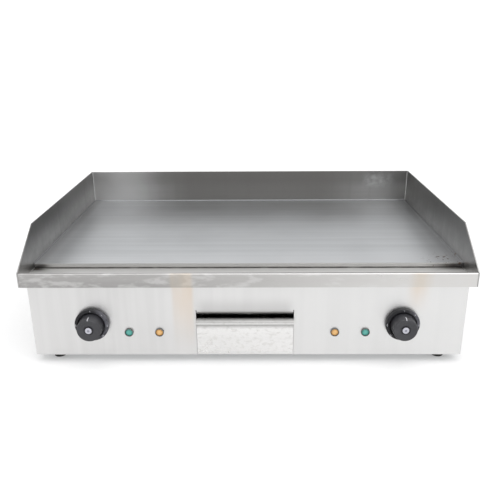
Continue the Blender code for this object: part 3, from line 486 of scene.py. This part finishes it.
def drawer_steel():
    """The drawer's bright front, flecked by wiping, with painted shade on its lip and just under it, and its
    greasy tray.
    """
    made = Finish("drawer_steel", Metallic=1.0)
    bright, wiped = (0.76, 0.754, 0.746), (0.60, 0.59, 0.57)
    lip_painted_shade, greasy = (0.20, 0.198, 0.192), (0.55, 0.50, 0.40)
    base, grain, _, cloud = brushed_layers(made, bright, "X", 0.05, 0.03, 8.4)
    flecks = made.noise((130.0, 130.0, 200.0), 4, 0.3, 6.6)
    base = made.mix(made.spread(flecks, 0.50, 0.64, 0.0, 0.50), base, wiped)
    lip_low = DRAWER_HIGH.z - 0.0104
    # Painted shade on the lip's upper part and lower edge, and a painted shadow line on the face just under
    # the lip.
    lip_face = made.spread(made.z, lip_low + 0.0024, lip_low + 0.0084, 0.0, 0.90)
    on_panel = made.spread(made.y, PANEL_Y - 0.0006, PANEL_Y - 0.0002)
    lip_edge = made.times(
        made.spread(made.z, lip_low + 0.0006, lip_low + 0.0046, 0.80, 0.0),
        made.math("SUBTRACT", 1.0, on_panel),
    )
    shadow_below_lip = made.times(made.spread(made.z, lip_low - 0.0110, lip_low - 0.0030, 0.0, 0.55), on_panel)
    dull = made.math("MAXIMUM", made.math("MAXIMUM", lip_face, lip_edge), shadow_below_lip)
    dull = made.times(dull, made.spread(made.y, PANEL_Y + 0.002, PANEL_Y + 0.004, 1.0, 0.0))
    base = made.mix(dull, base, lip_painted_shade)
    inside = made.spread(made.y, PANEL_Y + 0.004, PANEL_Y + 0.02)
    film = made.times(inside, made.spread(cloud, 0.40, 0.66, 0.1, 0.5))
    base = made.mix(film, base, greasy)
    roughness = made.vary(0.34, (grain, 0.10), (flecks, 0.14), (cloud, 0.10), (dull, 0.20))
    return made.done(base, roughness, made.relief((grain, 0.04, 0.0002), (flecks, 0.06, 0.0006)))


def galvanised_steel():
    """Zinc coated sheet with its crystal spangle."""
    made = Finish("galvanised_steel", Metallic=1.0)
    cells = made.node("TexVoronoi", [made.coords])
    cells.inputs["Scale"].default_value = 90.0
    spangle = made.node("SeparateXYZ", [cells.outputs["Color"]]).outputs[0]
    cloud = made.noise(14.0, 3, 0.5)
    base = made.mix(spangle, (0.44, 0.46, 0.47), (0.60, 0.62, 0.63))
    base = made.mix(made.spread(cloud, 0.5, 0.8, 0.0, 0.5), base, (0.50, 0.50, 0.49))
    roughness = made.vary(0.46, (spangle, 0.20), (cloud, 0.14))
    return made.done(base, roughness, made.relief((spangle, 0.08, 0.0002)))


def fine_metal(name, light, dark, roughness):
    """A small metal part: plating or tarnish that varies over a few millimetres."""
    made = Finish(name, Metallic=1.0)
    patches = made.noise(60.0, 4, 0.6)
    scratches = made.noise((900.0, 60.0, 900.0), 2, 0.2)
    base = made.mix(made.spread(patches, 0.35, 0.7), light, dark)
    rough = made.vary(roughness, (patches, 0.2), (scratches, 0.12))
    return made.done(base, rough, made.relief((scratches, 0.06, 0.0002)))


# Plastics, rubber, wool

def moulded_skin(made, base, roughness, rubbed):
    """Finishes a moulded plastic with its fine texture, and the rubbed patches in its gloss."""
    texture = made.noise(900.0, 2)
    rough = made.vary(roughness, (texture, 0.12), (rubbed, 0.16))
    return made.done(base, rough, made.relief((texture, 0.10, 0.0001)))


def moulded(name, colour, roughness, worn=None, specular=0.5):
    """Moulded plastic of one colour, rubbed or dusted towards the worn colour in patches."""
    made = Finish(name, Metallic=0.0, Specular_IOR_Level=specular)
    rubbed = made.noise(55.0, 4, 0.5)
    base = made.mix(made.spread(rubbed, 0.45, 0.75, 0.0, 0.25), colour, worn or scaled(colour, 1.8))
    return moulded_skin(made, base, roughness, rubbed)


def bezel_plastic():
    """Near black plastic, with a painted highlight down its right side."""
    made = Finish("bezel_plastic", Metallic=0.0, Specular_IOR_Level=0.28)
    rubbed = made.noise(150.0, 4, 0.5)
    # Painted highlight down the right side, broken up by the rubbed pattern.
    painted_highlight = made.times(made.spread(made.x, 0.004, 0.020), made.spread(rubbed, 0.30, 0.65, 0.4, 1.0))
    black, pale = (0.008, 0.008, 0.010), (0.085, 0.085, 0.098)
    return moulded_skin(made, made.mix(painted_highlight, black, pale), 0.34, rubbed)


def cap_plastic():
    """The pale plastic of the pointer and the dial's marks. The knob's disc is greyer, with a ring."""
    made = Finish("cap_plastic", Metallic=0.0)
    pale, worn = (0.60, 0.60, 0.63), (0.45, 0.45, 0.48)
    disc_grey, ring_grey = (0.20, 0.20, 0.24), (0.42, 0.42, 0.47)
    distance = made.from_axis()
    rubbed = made.noise(55.0, 4, 0.5)
    base = made.mix(made.spread(rubbed, 0.45, 0.75, 0.0, 0.3), pale, worn)
    disc = made.spread(distance, 0.008, 0.009, 1.0, 0.0)
    base = made.mix(disc, base, disc_grey)
    ring = made.spread(distance, 0.0019, 0.0023)
    base = made.mix(made.times(disc, ring), base, ring_grey)
    return moulded_skin(made, base, 0.42, rubbed)


def lens_plastic(name, colour, deep):
    """A coloured lamp lens, deeper towards its rim, with moulded rings."""
    made = Finish(name, Metallic=0.0, IOR=1.49, Transmission_Weight=0.25)
    ring_step = 0.0009
    distance = made.from_axis()
    rings = made.math("SINE", made.times(distance, 2 * math.pi / ring_step))
    clouding = made.noise(400.0, 3)
    base = made.mix(made.spread(distance, 0.0020, 0.0056), colour, deep)
    base = made.mix(made.spread(clouding, 0.5, 0.8, 0.0, 0.3), base, scaled(colour, 1.15))
    rough = made.vary(0.24, (clouding, 0.14))
    return made.done(base, rough, made.relief((rings, 0.15, 0.00015)))


def rubber():
    """Grainy black rubber, dusty low down."""
    made = Finish("foot_rubber", Metallic=0.0)
    black, dusty = (0.012, 0.012, 0.012), (0.07, 0.065, 0.06)
    grain = made.noise(1200.0, 3)
    dust = made.noise(90.0, 4, 0.4)
    low = made.spread(made.z, 0.0, 0.006, 0.5, 0.1)
    base = made.mix(made.times(made.spread(dust, 0.4, 0.7), low), black, dusty)
    return made.done(base, made.vary(0.82, (grain, 0.12), (dust, 0.1)), made.relief((grain, 0.3, 0.0002)))


def mineral_wool():
    """Matted pale fibres in clumps."""
    made = Finish("mineral_wool", Metallic=0.0)
    fibres = made.noise((700.0, 90.0, 300.0), 5, 1.2)
    clumps = made.noise(60.0, 4, 0.5)
    base = made.mix(fibres, (0.58, 0.53, 0.40), (0.86, 0.83, 0.74))
    normal = made.relief((clumps, 0.5, 0.003), (fibres, 0.6, 0.001))
    return made.done(base, made.vary(0.95, (clumps, 0.08)), normal)


def woven_sleeve():
    """Glass braid over the wires: two crossing sets of strands."""
    made = Finish("wire_sleeve", Metallic=0.0)
    pitch = 2600.0
    total = made.math("ADD", made.x, made.y)
    leanings = [made.math(way, total, made.z) for way in ("ADD", "SUBTRACT")]
    weave = made.times(*[made.math("SINE", made.times(lean, pitch)) for lean in leanings])
    base = made.mix(made.spread(weave, -1.0, 1.0), (0.06, 0.06, 0.065), (0.15, 0.15, 0.16))
    return made.done(base, made.vary(0.72, (made.noise(300.0, 2), 0.2)), made.relief((weave, 0.4, 0.0003)))


def element_sheath():
    """Heat darkened tube, with straw and blue tints."""
    made = Finish("element_sheath", Metallic=1.0)
    tint = made.noise((20.0, 9.0, 20.0), 3, 0.5)
    scale = made.noise(500.0, 3)
    base = made.mix(made.spread(tint, 0.35, 0.65), (0.20, 0.17, 0.13), (0.12, 0.13, 0.17))
    return made.done(base, made.vary(0.5, (scale, 0.25), (tint, 0.1)), made.relief((scale, 0.2, 0.0002)))


FINISHES = {
    "plate_steel": plate_steel(),
    "guard_steel": guard_steel(),
    "rim_steel": rim_steel(),
    "body_steel": body_steel(),
    "drawer_steel": drawer_steel(),
    "galvanised_steel": galvanised_steel(),
    "zinc_steel": fine_metal("zinc_steel", (0.66, 0.66, 0.65), (0.50, 0.50, 0.49), 0.34),
    "copper": fine_metal("copper", (0.76, 0.43, 0.31), (0.42, 0.22, 0.16), 0.36),
    "brass": fine_metal("brass", (0.74, 0.58, 0.28), (0.50, 0.38, 0.17), 0.34),
    "knob_plastic": moulded("knob_plastic", (0.031, 0.031, 0.035), 0.40, specular=0.40),
    "bezel_plastic": bezel_plastic(),
    "cap_plastic": cap_plastic(),
    "terminal_plastic": moulded("terminal_plastic", (0.74, 0.71, 0.64), 0.62, (0.60, 0.55, 0.46)),
    "lamp_plastic": moulded("lamp_plastic", (0.10, 0.104, 0.10), 0.35),
    "gland_nylon": moulded("gland_nylon", (0.020, 0.020, 0.022), 0.48),
    "lens_green": lens_plastic("lens_green", (0.11, 0.44, 0.38), (0.05, 0.27, 0.23)),
    "lens_amber": lens_plastic("lens_amber", (0.86, 0.52, 0.20), (0.60, 0.31, 0.09)),
    "element_sheath": element_sheath(),
    "wire_sleeve": woven_sleeve(),
    "foot_rubber": rubber(),
    "mineral_wool": mineral_wool(),
}


# The nodes kept from the frame

def dress_nodes():
    """Gives each node of the frame the finish of its material slot."""
    for part in frame["record"]["subparts"]:
        materials = NODES[part["node"]].data.materials
        materials.clear()
        materials.append(FINISHES[part["material_slot"]])


def soften_edges(width, *names):
    """Breaks the edges of some nodes by a small bevel that catches light."""
    for name in names:
        node = NODES[name]
        weld = node.modifiers.new("weld", "WELD")
        weld.merge_threshold = 0.00001
        edges = node.modifiers.new("edges", "BEVEL")
        edges.width = width
        edges.segments = 2
        edges.limit_method = "ANGLE"
        edges.angle_limit = math.radians(50)
        edges.use_clamp_overlap = True


# The controls

def control_spot(side_name):
    """The middle of a dial, on the face of the front panel."""
    low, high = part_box(f"dial_bezel_{side_name}")
    return Vector(((low.x + high.x) / 2, PANEL_Y, (low.z + high.z) / 2))


def make_knob(side_name):
    """A smooth tapered knob with a dished face, its white pointer and the plain disc in its middle."""
    spot = control_spot(side_name)
    low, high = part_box(f"control_knob_{side_name}")
    radius = (high.x - low.x) / 2
    face, base = PANEL_Y - low.y, PANEL_Y - high.y
    cap_low, cap_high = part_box(f"knob_cap_{side_name}")
    cap_radius = (cap_high.x - cap_low.x) / 2
    cap_top, cap_base = PANEL_Y - cap_low.y, PANEL_Y - cap_high.y
    shaft_low, shaft_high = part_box(f"thermostat_shaft_{side_name}")
    bore = (shaft_high.x - shaft_low.x) / 2 + GAP
    bore_end = PANEL_Y - shaft_low.y + GAP
    face_radius = radius - 0.0008
    corner, chamfer = 0.0022, 0.0004
    dish_radius, dish_face = cap_radius + 0.0034, face - 0.0007
    well_base, well_floor = face - 0.0026, cap_base - GAP - 0.0012
    profile = [
        (0, bore_end),
        (bore, bore_end),
        (bore, base),
        (radius - chamfer, base),
        (radius, base + 0.0005),
        *arc(face_radius - corner, face - corner, corner, 3, 90, 8),
        (face_radius - corner - 0.0010, face - 0.00005),
        (face_radius - corner - 0.0018, face - 0.0004),
        (dish_radius, dish_face),
        (dish_radius - 0.0006, dish_face - 0.0003),
        (dish_radius - 0.0016, well_base + 0.0002),
        (cap_radius + GAP, well_base),
        (cap_radius + GAP, well_floor),
        (0, well_floor),
    ]
    body = f"knob_{side_name}"
    place = looking("forward", spot)
    piece(f"knob_body_{side_name}", turned(profile, 128), "knob_plastic", body, place,
          replaces=[f"control_knob_{side_name}"])
    groove_outer, groove_inner, groove = cap_radius - 0.0012, cap_radius - 0.0021, 0.0002
    disc = [
        (0, cap_base),
        (cap_radius, cap_base),
        (cap_radius, cap_top - 0.0004),
        (cap_radius - 0.0003, cap_top - 0.0001),
        (groove_outer, cap_top),
        (groove_outer - groove, cap_top - groove),
        (groove_inner + groove, cap_top - groove),
        (groove_inner, cap_top),
        (0, cap_top),
    ]
    piece(f"knob_disc_{side_name}", turned(disc, 64), "cap_plastic", body, place,
          replaces=[f"knob_cap_{side_name}"])
    length, half_width, proud = 0.0085, 0.0005, 0.00008
    line = [(radius - 0.0004, face - length), (face_radius + 0.0001, face - corner - 0.0004)]
    line += arc(face_radius - corner, face - corner, corner, 15, 80, 4)
    raised = pointer(line, half_width, proud)
    piece(f"knob_pointer_{side_name}", raised, "cap_plastic", body, place, smooth=60)


def pointer(line, half_width, proud):
    """A thin raised line over the knob's top edge, along (radius, height) points."""
    bm = bmesh.new()
    rings = []
    for index, (radius, height) in enumerate(line):
        before, after = line[max(index - 1, 0)], line[min(index + 1, len(line) - 1)]
        along = Vector((after[0] - before[0], after[1] - before[1])).normalized()
        out = Vector((along.y, -along.x))
        ring = []
        for side, lift in ((-1, -proud), (1, -proud), (1, proud), (-1, proud)):
            ring.append(bm.verts.new((side * half_width, radius + out.x * lift, height + out.y * lift)))
        rings.append(ring)
    solid_from_rings(bm, rings, capped=True)
    return bm


def make_bezel(side_name):
    """The flared ring behind the knob, with its temperature marks."""
    spot = control_spot(side_name)
    low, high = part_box(f"dial_bezel_{side_name}")
    radius = (high.x - low.x) / 2
    depth, base = PANEL_Y - low.y, PANEL_Y - high.y
    knob_low, knob_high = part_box(f"control_knob_{side_name}")
    clearance, bore, floor = 0.0020, 0.0065, 0.0018
    inner = (knob_high.x - knob_low.x) / 2 + clearance
    rounding, inner_rounding, chamfer = 0.0016, 0.0009, 0.0003
    fall = 0.0004
    flat_inner, flat_outer = inner + 0.0014, radius - rounding
    profile = [
        (bore, base),
        (radius - chamfer, base),
        (radius, base + chamfer),
        *arc(flat_outer, depth - fall - rounding, rounding, 0, 80, 7),
        (flat_inner, depth),
        *arc(inner + inner_rounding, depth - inner_rounding, inner_rounding, 90, 180, 5),
        (inner, base + floor),
        (bore, base + floor),
    ]
    place = looking("forward", spot)
    piece(f"dial_ring_{side_name}", turned(profile, 128, closed=True), "bezel_plastic", "chassis", place,
          replaces=[f"dial_bezel_{side_name}"])
    marks = dial_marks(flat_inner, flat_outer, depth, fall / (flat_outer - flat_inner))
    piece(f"dial_marks_{side_name}", marks, "cap_plastic", "chassis", place)


def dial_marks(inner, outer, height, slope):
    """Numbers from 0 at the top to 300, clockwise, and the short lines between them."""
    shapes = []
    sunk, proud = 0.00012, 0.00006
    steps, degrees_each, sweep, digit_size = 12, 25, 270, 0.0030
    middle = (inner + 0.0011 + outer) / 2
    lift = Matrix.Translation((0, middle, height - slope * (middle - inner)))
    for step in range(steps + 1):
        turn = Matrix.Rotation(math.radians(-sweep / steps * step), 4, "Z")
        numbered = step % 2 == 0
        length, half_width = (0.0009, 0.00022) if numbered else (0.0016, 0.00014)
        surface = height - slope * length
        start, end = inner + 0.0001, inner + length
        line = box_shape((-half_width, start, surface - sunk), (half_width, end, surface + proud))
        shapes.append((line, turn))
        if numbered:
            shapes.append((number(str(degrees_each * step), digit_size, proud), turn @ lift))
    return joined(shapes)


def number(text, size, proud):
    """Upright digits centred on the origin, in a thin solid."""
    curve = bpy.data.curves.new("digits", "FONT")
    curve.body = text
    curve.size = size
    curve.align_x = "CENTER"
    curve.align_y = "CENTER"
    curve.extrude = proud
    curve.resolution_u = 3
    loose = new_object("digits", curve)
    bm = final_shape(loose)
    bmesh.ops.remove_doubles(bm, verts=bm.verts, dist=1e-7)
    bpy.data.objects.remove(loose)
    bpy.data.curves.remove(curve)
    return bm


def make_lamp(colour, side_name):
    """A domed lens set a little way into its dark ring."""
    node = f"lamp_lens_{colour}_{side_name}"
    low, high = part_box(node)
    spot = Vector(((low.x + high.x) / 2, PANEL_Y, (low.z + high.z) / 2))
    radius = (high.x - low.x) / 2
    top = PANEL_Y - low.y
    place = looking("forward", spot)
    inner, rounding = radius - 0.0007, 0.0005
    ring = [
        (inner, GAP),
        (radius, GAP),
        *arc(radius - rounding, top - 0.0006, rounding, 0, 180, 8),
        (inner, top - 0.0010),
    ]
    piece(f"lamp_ring_{colour}_{side_name}", turned(ring, 64, closed=True), "lamp_plastic", place=place)
    stem, stem_end = 0.0048, -0.0050
    rim, dome_base, dome_height, steps = inner - 0.0001, 0.0008, 0.0013, 8
    dome = [
        (rim * math.cos(angle), dome_base + dome_height * math.sin(angle))
        for angle in (math.pi / 2 * step / steps for step in range(steps))
    ]
    lens = [(0, stem_end), (stem, stem_end), (stem, GAP), (rim, GAP), *dome, (0, dome_base + dome_height)]
    piece(f"lamp_dome_{colour}_{side_name}", turned(lens, 64), f"lens_{colour}", place=place, replaces=[node])


# Welds and fasteners

def weld_bead(points, radius, seed):
    """A rippled bead along a path."""
    chance = random.Random(seed)
    step, sides = 0.0007, 8
    line = []
    for start, end in zip(points, points[1:]):
        start, end = Vector(start), Vector(end)
        count = max(2, round((end - start).length / step))
        line += [start.lerp(end, index / count) for index in range(count)]
    line.append(Vector(points[-1]))
    bm = bmesh.new()
    rings = []
    across = None
    for index, point in enumerate(line):
        along = (line[min(index + 1, len(line) - 1)] - line[max(index - 1, 0)]).normalized()
        across = along.orthogonal() if across is None else across - along * across.dot(along)
        across.normalize()
        aside = along.cross(across)
        ripple = radius * (0.92 + 0.10 * math.sin(index * 1.9) + chance.uniform(-0.05, 0.05))
        rings.append([
            bm.verts.new(point + ripple * (math.cos(turn) * across + math.sin(turn) * aside))
            for turn in (2 * math.pi * side / sides for side in range(sides))
        ])
    solid_from_rings(bm, rings, capped=True)
    return bm


def make_welds():
    """Beads in the rear corners and round the trough's ends."""
    proud, corner = 0.0002, 0.001
    corner_radius, trough_radius = 0.0011, 0.0008
    x = GUARD_INNER - proud
    wall_y = RIM_LOW.y + 0.0064
    floor_z = PLATE_LOW.z + proud
    beads = []
    for side, _ in SIDES:
        rear = (side * x, REAR_LOW.y + proud)
        upright = [(*rear, PLATE_HIGH.z), (*rear, REAR_HIGH.z - 0.0012)]
        beads.append(weld_bead(upright, corner_radius, 11 + side))
        path = [
            (side * x, PLATE_LOW.y + 0.004, floor_z),
            (side * x, wall_y + corner, floor_z),
            (side * x, wall_y, floor_z + corner),
            (side * x, wall_y, RIM_HIGH.z - 0.0030),
        ]
        beads.append(weld_bead(path, trough_radius, 21 + side))
    piece("corner_welds", joined(beads), "zinc_steel", smooth=70)


def fillet(start, end, inward, width, rise, seed):
    """A concave run of weld between the plate and a guard, ground smooth."""
    chance = random.Random(seed)
    start, end, inward = Vector(start), Vector(end), Vector(inward)
    steps, waver = 60, 0.10
    section = ((0, -0.3), (0, 1), (0.12, 0.55), (0.32, 0.26), (0.62, 0.09), (1, 0.02), (1, -0.3))
    bm = bmesh.new()
    rings = []
    for index in range(steps + 1):
        foot = start.lerp(end, index / steps)
        reach = width * (1 + chance.uniform(-waver, waver))
        ring = []
        for share_in, share_up in section:
            ring.append(bm.verts.new(foot + inward * reach * share_in + Vector((0, 0, rise * share_up))))
        rings.append(ring)
    solid_from_rings(bm, rings, capped=True)
    return bm


def make_fillets():
    """The ground welds that seal the plate to the three guards."""
    z = PLATE_HIGH.z
    x = GUARD_INNER
    side_size, rear_size = (0.0040, 0.0022), (0.0020, 0.0014)
    runs = []
    for side, _ in SIDES:
        start, end = (side * x, PLATE_LOW.y + 0.001, z), (side * x, PLATE_HIGH.y, z)
        runs.append(fillet(start, end, (-side, 0, 0), *side_size, 31 + side))
    runs.append(fillet((-x, REAR_LOW.y, z), (x, REAR_LOW.y, z), (0, -1, 0), *rear_size, 41))
    piece("plate_fillets", joined(runs), "plate_steel", smooth=60)


def screw_head():
    """A pan head with a cross recess, its own Z out of the panel."""
    radius, height, brim = 0.0034, 0.0017, 0.0003
    steps = 7
    profile = [(0, 0), (radius, 0), (radius, brim)]
    profile += [
        (radius * math.cos(angle), brim + (height - brim) * math.sin(angle))
        for angle in (math.pi / 2 * step / steps for step in range(1, steps))
    ]
    profile.append((0, height))
    head = turned(profile, 32)
    arm, half_width = 0.0017, 0.00040
    recess, clear = height - 0.0009, height + 0.001
    for x, y in ((arm, half_width), (half_width, arm)):
        head = cut(head, box_shape((-x, -y, recess), (x, y, clear)))
    return head


def cut(shape, cutter):
    """The first shape without the second."""
    objects = []
    for bm in (shape, cutter):
        mesh = bpy.data.meshes.new("loose")
        bm.to_mesh(mesh)
        bm.free()
        objects.append(new_object("loose", mesh))
    boolean = objects[0].modifiers.new("cut", "BOOLEAN")
    boolean.object = objects[1]
    boolean.solver = "EXACT"
    result = final_shape(objects[0])
    for loose in objects:
        bpy.data.objects.remove(loose)
    return result


def make_screws():
    """The screws of the side panels, the rear panel and the base plate."""
    head = screw_head()
    chance = random.Random(5)
    low_row, high_row = 0.0230, 0.0850
    side_low, side_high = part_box("side_panel_right")
    inset = 0.010
    depths = (side_low.y + inset, (side_low.y + side_high.y) / 2, side_high.y - inset)
    for side, name in SIDES:
        spots = [(side * side_high.x, y, low_row) for y in depths]
        turn = Matrix.Rotation(side * math.pi / 2, 4, "Y")
        piece(f"side_screws_{name}", placed_heads(head, spots, turn, chance), "zinc_steel")
    inset = 0.012
    spots = [(side * (BACK_HIGH.x - inset), REAR_Y, z) for z in (low_row, high_row) for side in (-1, 1)]
    spots += [(x, REAR_Y, low_row) for x in (-0.17, 0.0, 0.17)]
    turn = Matrix.Rotation(-math.pi / 2, 4, "X")
    piece("rear_screws", placed_heads(head, spots, turn, chance), "zinc_steel")
    base_low, base_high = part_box("base_plate")
    rows = (base_low.y + inset, base_high.y - inset)
    spots = [(x, y, base_low.z) for x in (-0.30, -0.16, 0.16, 0.30) for y in rows]
    turn = Matrix.Rotation(math.pi, 4, "X")
    piece("base_screws", placed_heads(head, spots, turn, chance), "zinc_steel")
    head.free()


def placed_heads(head, spots, turn, chance):
    """A screw head at each spot, each turned by chance about its own axis."""
    return joined([
        (head, Matrix.Translation(spot) @ turn @ Matrix.Rotation(chance.uniform(0, math.pi), 4, "Z"))
        for spot in spots
    ])


# The rear

def louvre_hood(half_width, rise, depth):
    """A pressed hood over one slot, open below and flat at its ends. Its own Y is out of the panel."""
    bm = bmesh.new()
    rings = []
    sheet = 0.0006
    columns, steps = 16, 6
    for column in range(columns + 1):
        share = 2 * column / columns - 1
        swell = max(1 - abs(share) ** 4, 0.0)
        outer, inner = [], []
        for step in range(steps + 1):
            angle = math.pi / 2 * step / steps
            out = (depth - sheet) * math.sin(angle) * swell
            z = rise * math.cos(angle)
            outer.append(bm.verts.new((share * half_width, out + sheet, z)))
            inner.append(bm.verts.new((share * half_width, out * 0.98, z * 0.90)))
        rings.append(outer + inner[::-1])
    solid_from_rings(bm, rings, capped=True)
    return bm


def make_louvres():
    """A hood over each slot of the rear panel."""
    rows, row_step, lowest = 6, 0.0095, 0.0806
    columns, column_step = 4, 0.150
    half_width, rise, depth = 0.032, 0.0055, 0.0034
    hoods = []
    for row in range(rows):
        for column in range(columns):
            spot = (column_step * (column - (columns - 1) / 2), REAR_Y, lowest + row_step * row)
            hoods.append((louvre_hood(half_width, rise, depth), Matrix.Translation(spot)))
    piece("rear_louvres", joined(hoods), "body_steel", smooth=50)


def make_gland():
    """The cable gland: a hexagon against the panel and a fluted clamping nut, open for a cable."""
    low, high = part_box("cable_gland")
    spot = Vector(((low.x + high.x) / 2, REAR_Y, (low.z + high.z) / 2))
    length = high.y - REAR_Y
    inner = REAR_Y - low.y
    corner = (high.x - low.x) / 2
    bore, thread, grip = 0.0055, 0.0078, 0.0103
    flutes, flute_depth = 12, 0.035

    def hexagon(radius, angle):
        """The part of the body wider than its thread, cut to six flats."""
        if radius <= thread:
            return radius
        from_flat = (angle + math.pi / 6) % (math.pi / 3) - math.pi / 6
        return min(radius, corner * math.cos(math.pi / 6) / math.cos(from_flat))

    def fluted(radius, angle):
        """The nut's grip, with flutes for fingers."""
        if radius <= grip:
            return radius
        return radius * (1 - flute_depth * max(math.cos(flutes * angle), 0) ** 2)

    body = [
        (bore, -inner), (thread, -inner), (thread, GAP), (corner, GAP), (corner, 0.0068), (thread, 0.0070),
        (thread, 0.0078), (bore, 0.0078),
    ]
    piece("gland_body", turned(body, 72, True, hexagon), "gland_nylon", place=looking("back", spot),
          replaces=["cable_gland"])
    chamfer = 0.0006
    nut = [
        (bore, 0.0080), (0.0108, 0.0080), (0.0112, 0.0085), (0.0110, 0.0175), (0.0104, 0.0200),
        *arc(0.0066, length - 0.0040, 0.0038, 20, 90, 6), (bore + chamfer, length), (bore, length - chamfer),
    ]
    piece("gland_clamp_nut", turned(nut, 144, True, fluted), "gland_nylon", place=looking("back", spot))


# The feet

def make_feet():
    """A ribbed rubber foot under each corner, hollow for its screw."""
    screw_radius, well_radius, well_top = 0.0032, 0.0050, 0.0070
    for _, name in SIDES:
        for place in ("front", "rear"):
            node = f"foot_{name}_{place}"
            low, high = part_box(node)
            spot = Vector(((low.x + high.x) / 2, (low.y + high.y) / 2, 0))
            radius, top = (high.x - low.x) / 2, high.z
            foot = [
                (well_radius, 0),
                *arc(radius - 0.0028, 0.0010, 0.0010, -90, 0, 5),
                (radius - 0.0014, 0.0042),
                (radius - 0.0020, 0.0048),
                (radius - 0.0020, 0.0054),
                (radius - 0.0010, 0.0060),
                (radius - 0.0006, 0.0098),
                (radius - 0.0012, 0.0104),
                (radius - 0.0012, 0.0110),
                (radius, 0.0116),
                (radius, top - 0.0010),
                (radius - 0.0008, top),
                (screw_radius, top),
                (screw_radius, well_top),
                (well_radius, well_top),
            ]
            piece(f"rubber_foot_{name}_{place}", turned(foot, 64, True), "foot_rubber",
                  place=Matrix.Translation(spot), replaces=[node])


# The studio

def make_floor():
    """A wide pale floor, with a little light of its own so that it stays white far out."""
    half = 30.0
    bm = bmesh.new()
    bm.faces.new([bm.verts.new((x * half, y * half, 0)) for x, y in ((-1, -1), (1, -1), (1, 1), (-1, 1))])
    mesh = bpy.data.meshes.new("floor")
    bm.to_mesh(mesh)
    bm.free()
    floor = new_object("floor", mesh)
    glow = dict(Emission_Color=(1.0, 1.0, 1.0, 1.0), Emission_Strength=0.25)
    made = Finish("floor_paper", Metallic=0.0, Specular_IOR_Level=0.1, **glow)
    tooth = made.noise(300.0, 2)
    mesh.materials.append(made.done(made.mix(tooth, 0.60, 0.63), 0.9))


def make_world():
    """A white room as a soft gradient: bright low down and behind, dimmer overhead and in front."""
    greys = ((0.0, 2.2), (0.14, 1.35), (0.26, 1.08), (0.50, 0.85))
    overhead = (0.95, (0.36, 0.36, 0.37, 1))
    front, back, front_strength, back_strength = -0.7, 0.6, 0.85, 1.0
    world = bpy.data.worlds.new("studio")
    world.use_nodes = True
    bpy.context.scene.world = world
    tree = world.node_tree
    background = tree.nodes["Background"]
    coords = tree.nodes.new("ShaderNodeTexCoord")
    axes = tree.nodes.new("ShaderNodeSeparateXYZ")
    tree.links.new(coords.outputs["Generated"], axes.inputs[0])
    height = tree.nodes.new("ShaderNodeValToRGB")
    tree.links.new(axes.outputs[2], height.inputs[0])
    ramp = height.color_ramp.elements
    ramp[0].position, ramp[0].color = greys[0][0], tone(greys[0][1])
    ramp[1].position, ramp[1].color = overhead
    for position, grey in greys[1:]:
        ramp.new(position).color = tone(grey)
    facing = tree.nodes.new("ShaderNodeMapRange")
    tree.links.new(axes.outputs[1], facing.inputs[0])
    for index, value in enumerate((front, back, front_strength, back_strength), start=1):
        facing.inputs[index].default_value = value
    tree.links.new(height.outputs[0], background.inputs[0])
    tree.links.new(facing.outputs[0], background.inputs[1])


def make_soft_light(name, source, spread, strength):
    """A broad even light from the direction of source. spread is how wide it looks, in degrees."""
    data = bpy.data.lights.new(name, "SUN")
    data.angle = math.radians(spread)
    data.energy = strength
    light = new_object(name, data)
    light.rotation_euler = Vector(source).to_track_quat("Z", "Y").to_euler()


def make_camera():
    """In front of the griddle and above it, looking down on the plate."""
    lens, sensor_width = 41.76, 36.0
    aside, in_front, above_rim = 0.0132, 0.8437, 0.3476
    heading, down, roll = 0.58, 20.07, -0.34
    data = bpy.data.cameras.new("camera")
    data.lens = lens
    data.sensor_width = sensor_width
    camera = new_object("camera", data)
    place = Matrix.Translation((aside, RIM_LOW.y - in_front, RIM_HIGH.z + above_rim))
    for angle, axis in ((heading, "Z"), (90 - down, "X"), (roll, "Z")):
        place = place @ Matrix.Rotation(math.radians(angle), 4, axis)
    camera.matrix_world = place
    bpy.context.scene.camera = camera


def make_studio():
    """A pale floor in a white room, two broad lights and the camera."""
    make_floor()
    make_world()
    width = 75
    make_soft_light("key", (0.5, -0.7, 1.6), width, 2.3)
    make_soft_light("fill", (-0.9, -0.3, 1.6), width, 0.7)
    make_camera()
    bpy.context.scene.view_settings.view_transform = "Standard"


def main():
    """Everything, in the order it is made in."""
    dress_nodes()
    panels = ("front_panel", "rear_panel", "side_panel_left", "side_panel_right", "drawer_front")
    guards = ("splash_guard_left", "splash_guard_right", "splash_guard_rear")
    soften_edges(0.00025, *panels)
    soften_edges(0.00040, *guards, "griddle_plate")
    for _, name in SIDES:
        make_knob(name)
        make_bezel(name)
        make_lamp("green", name)
        make_lamp("amber", name)
    make_welds()
    make_fillets()
    make_screws()
    make_louvres()
    make_gland()
    make_feet()
    make_studio()


main()
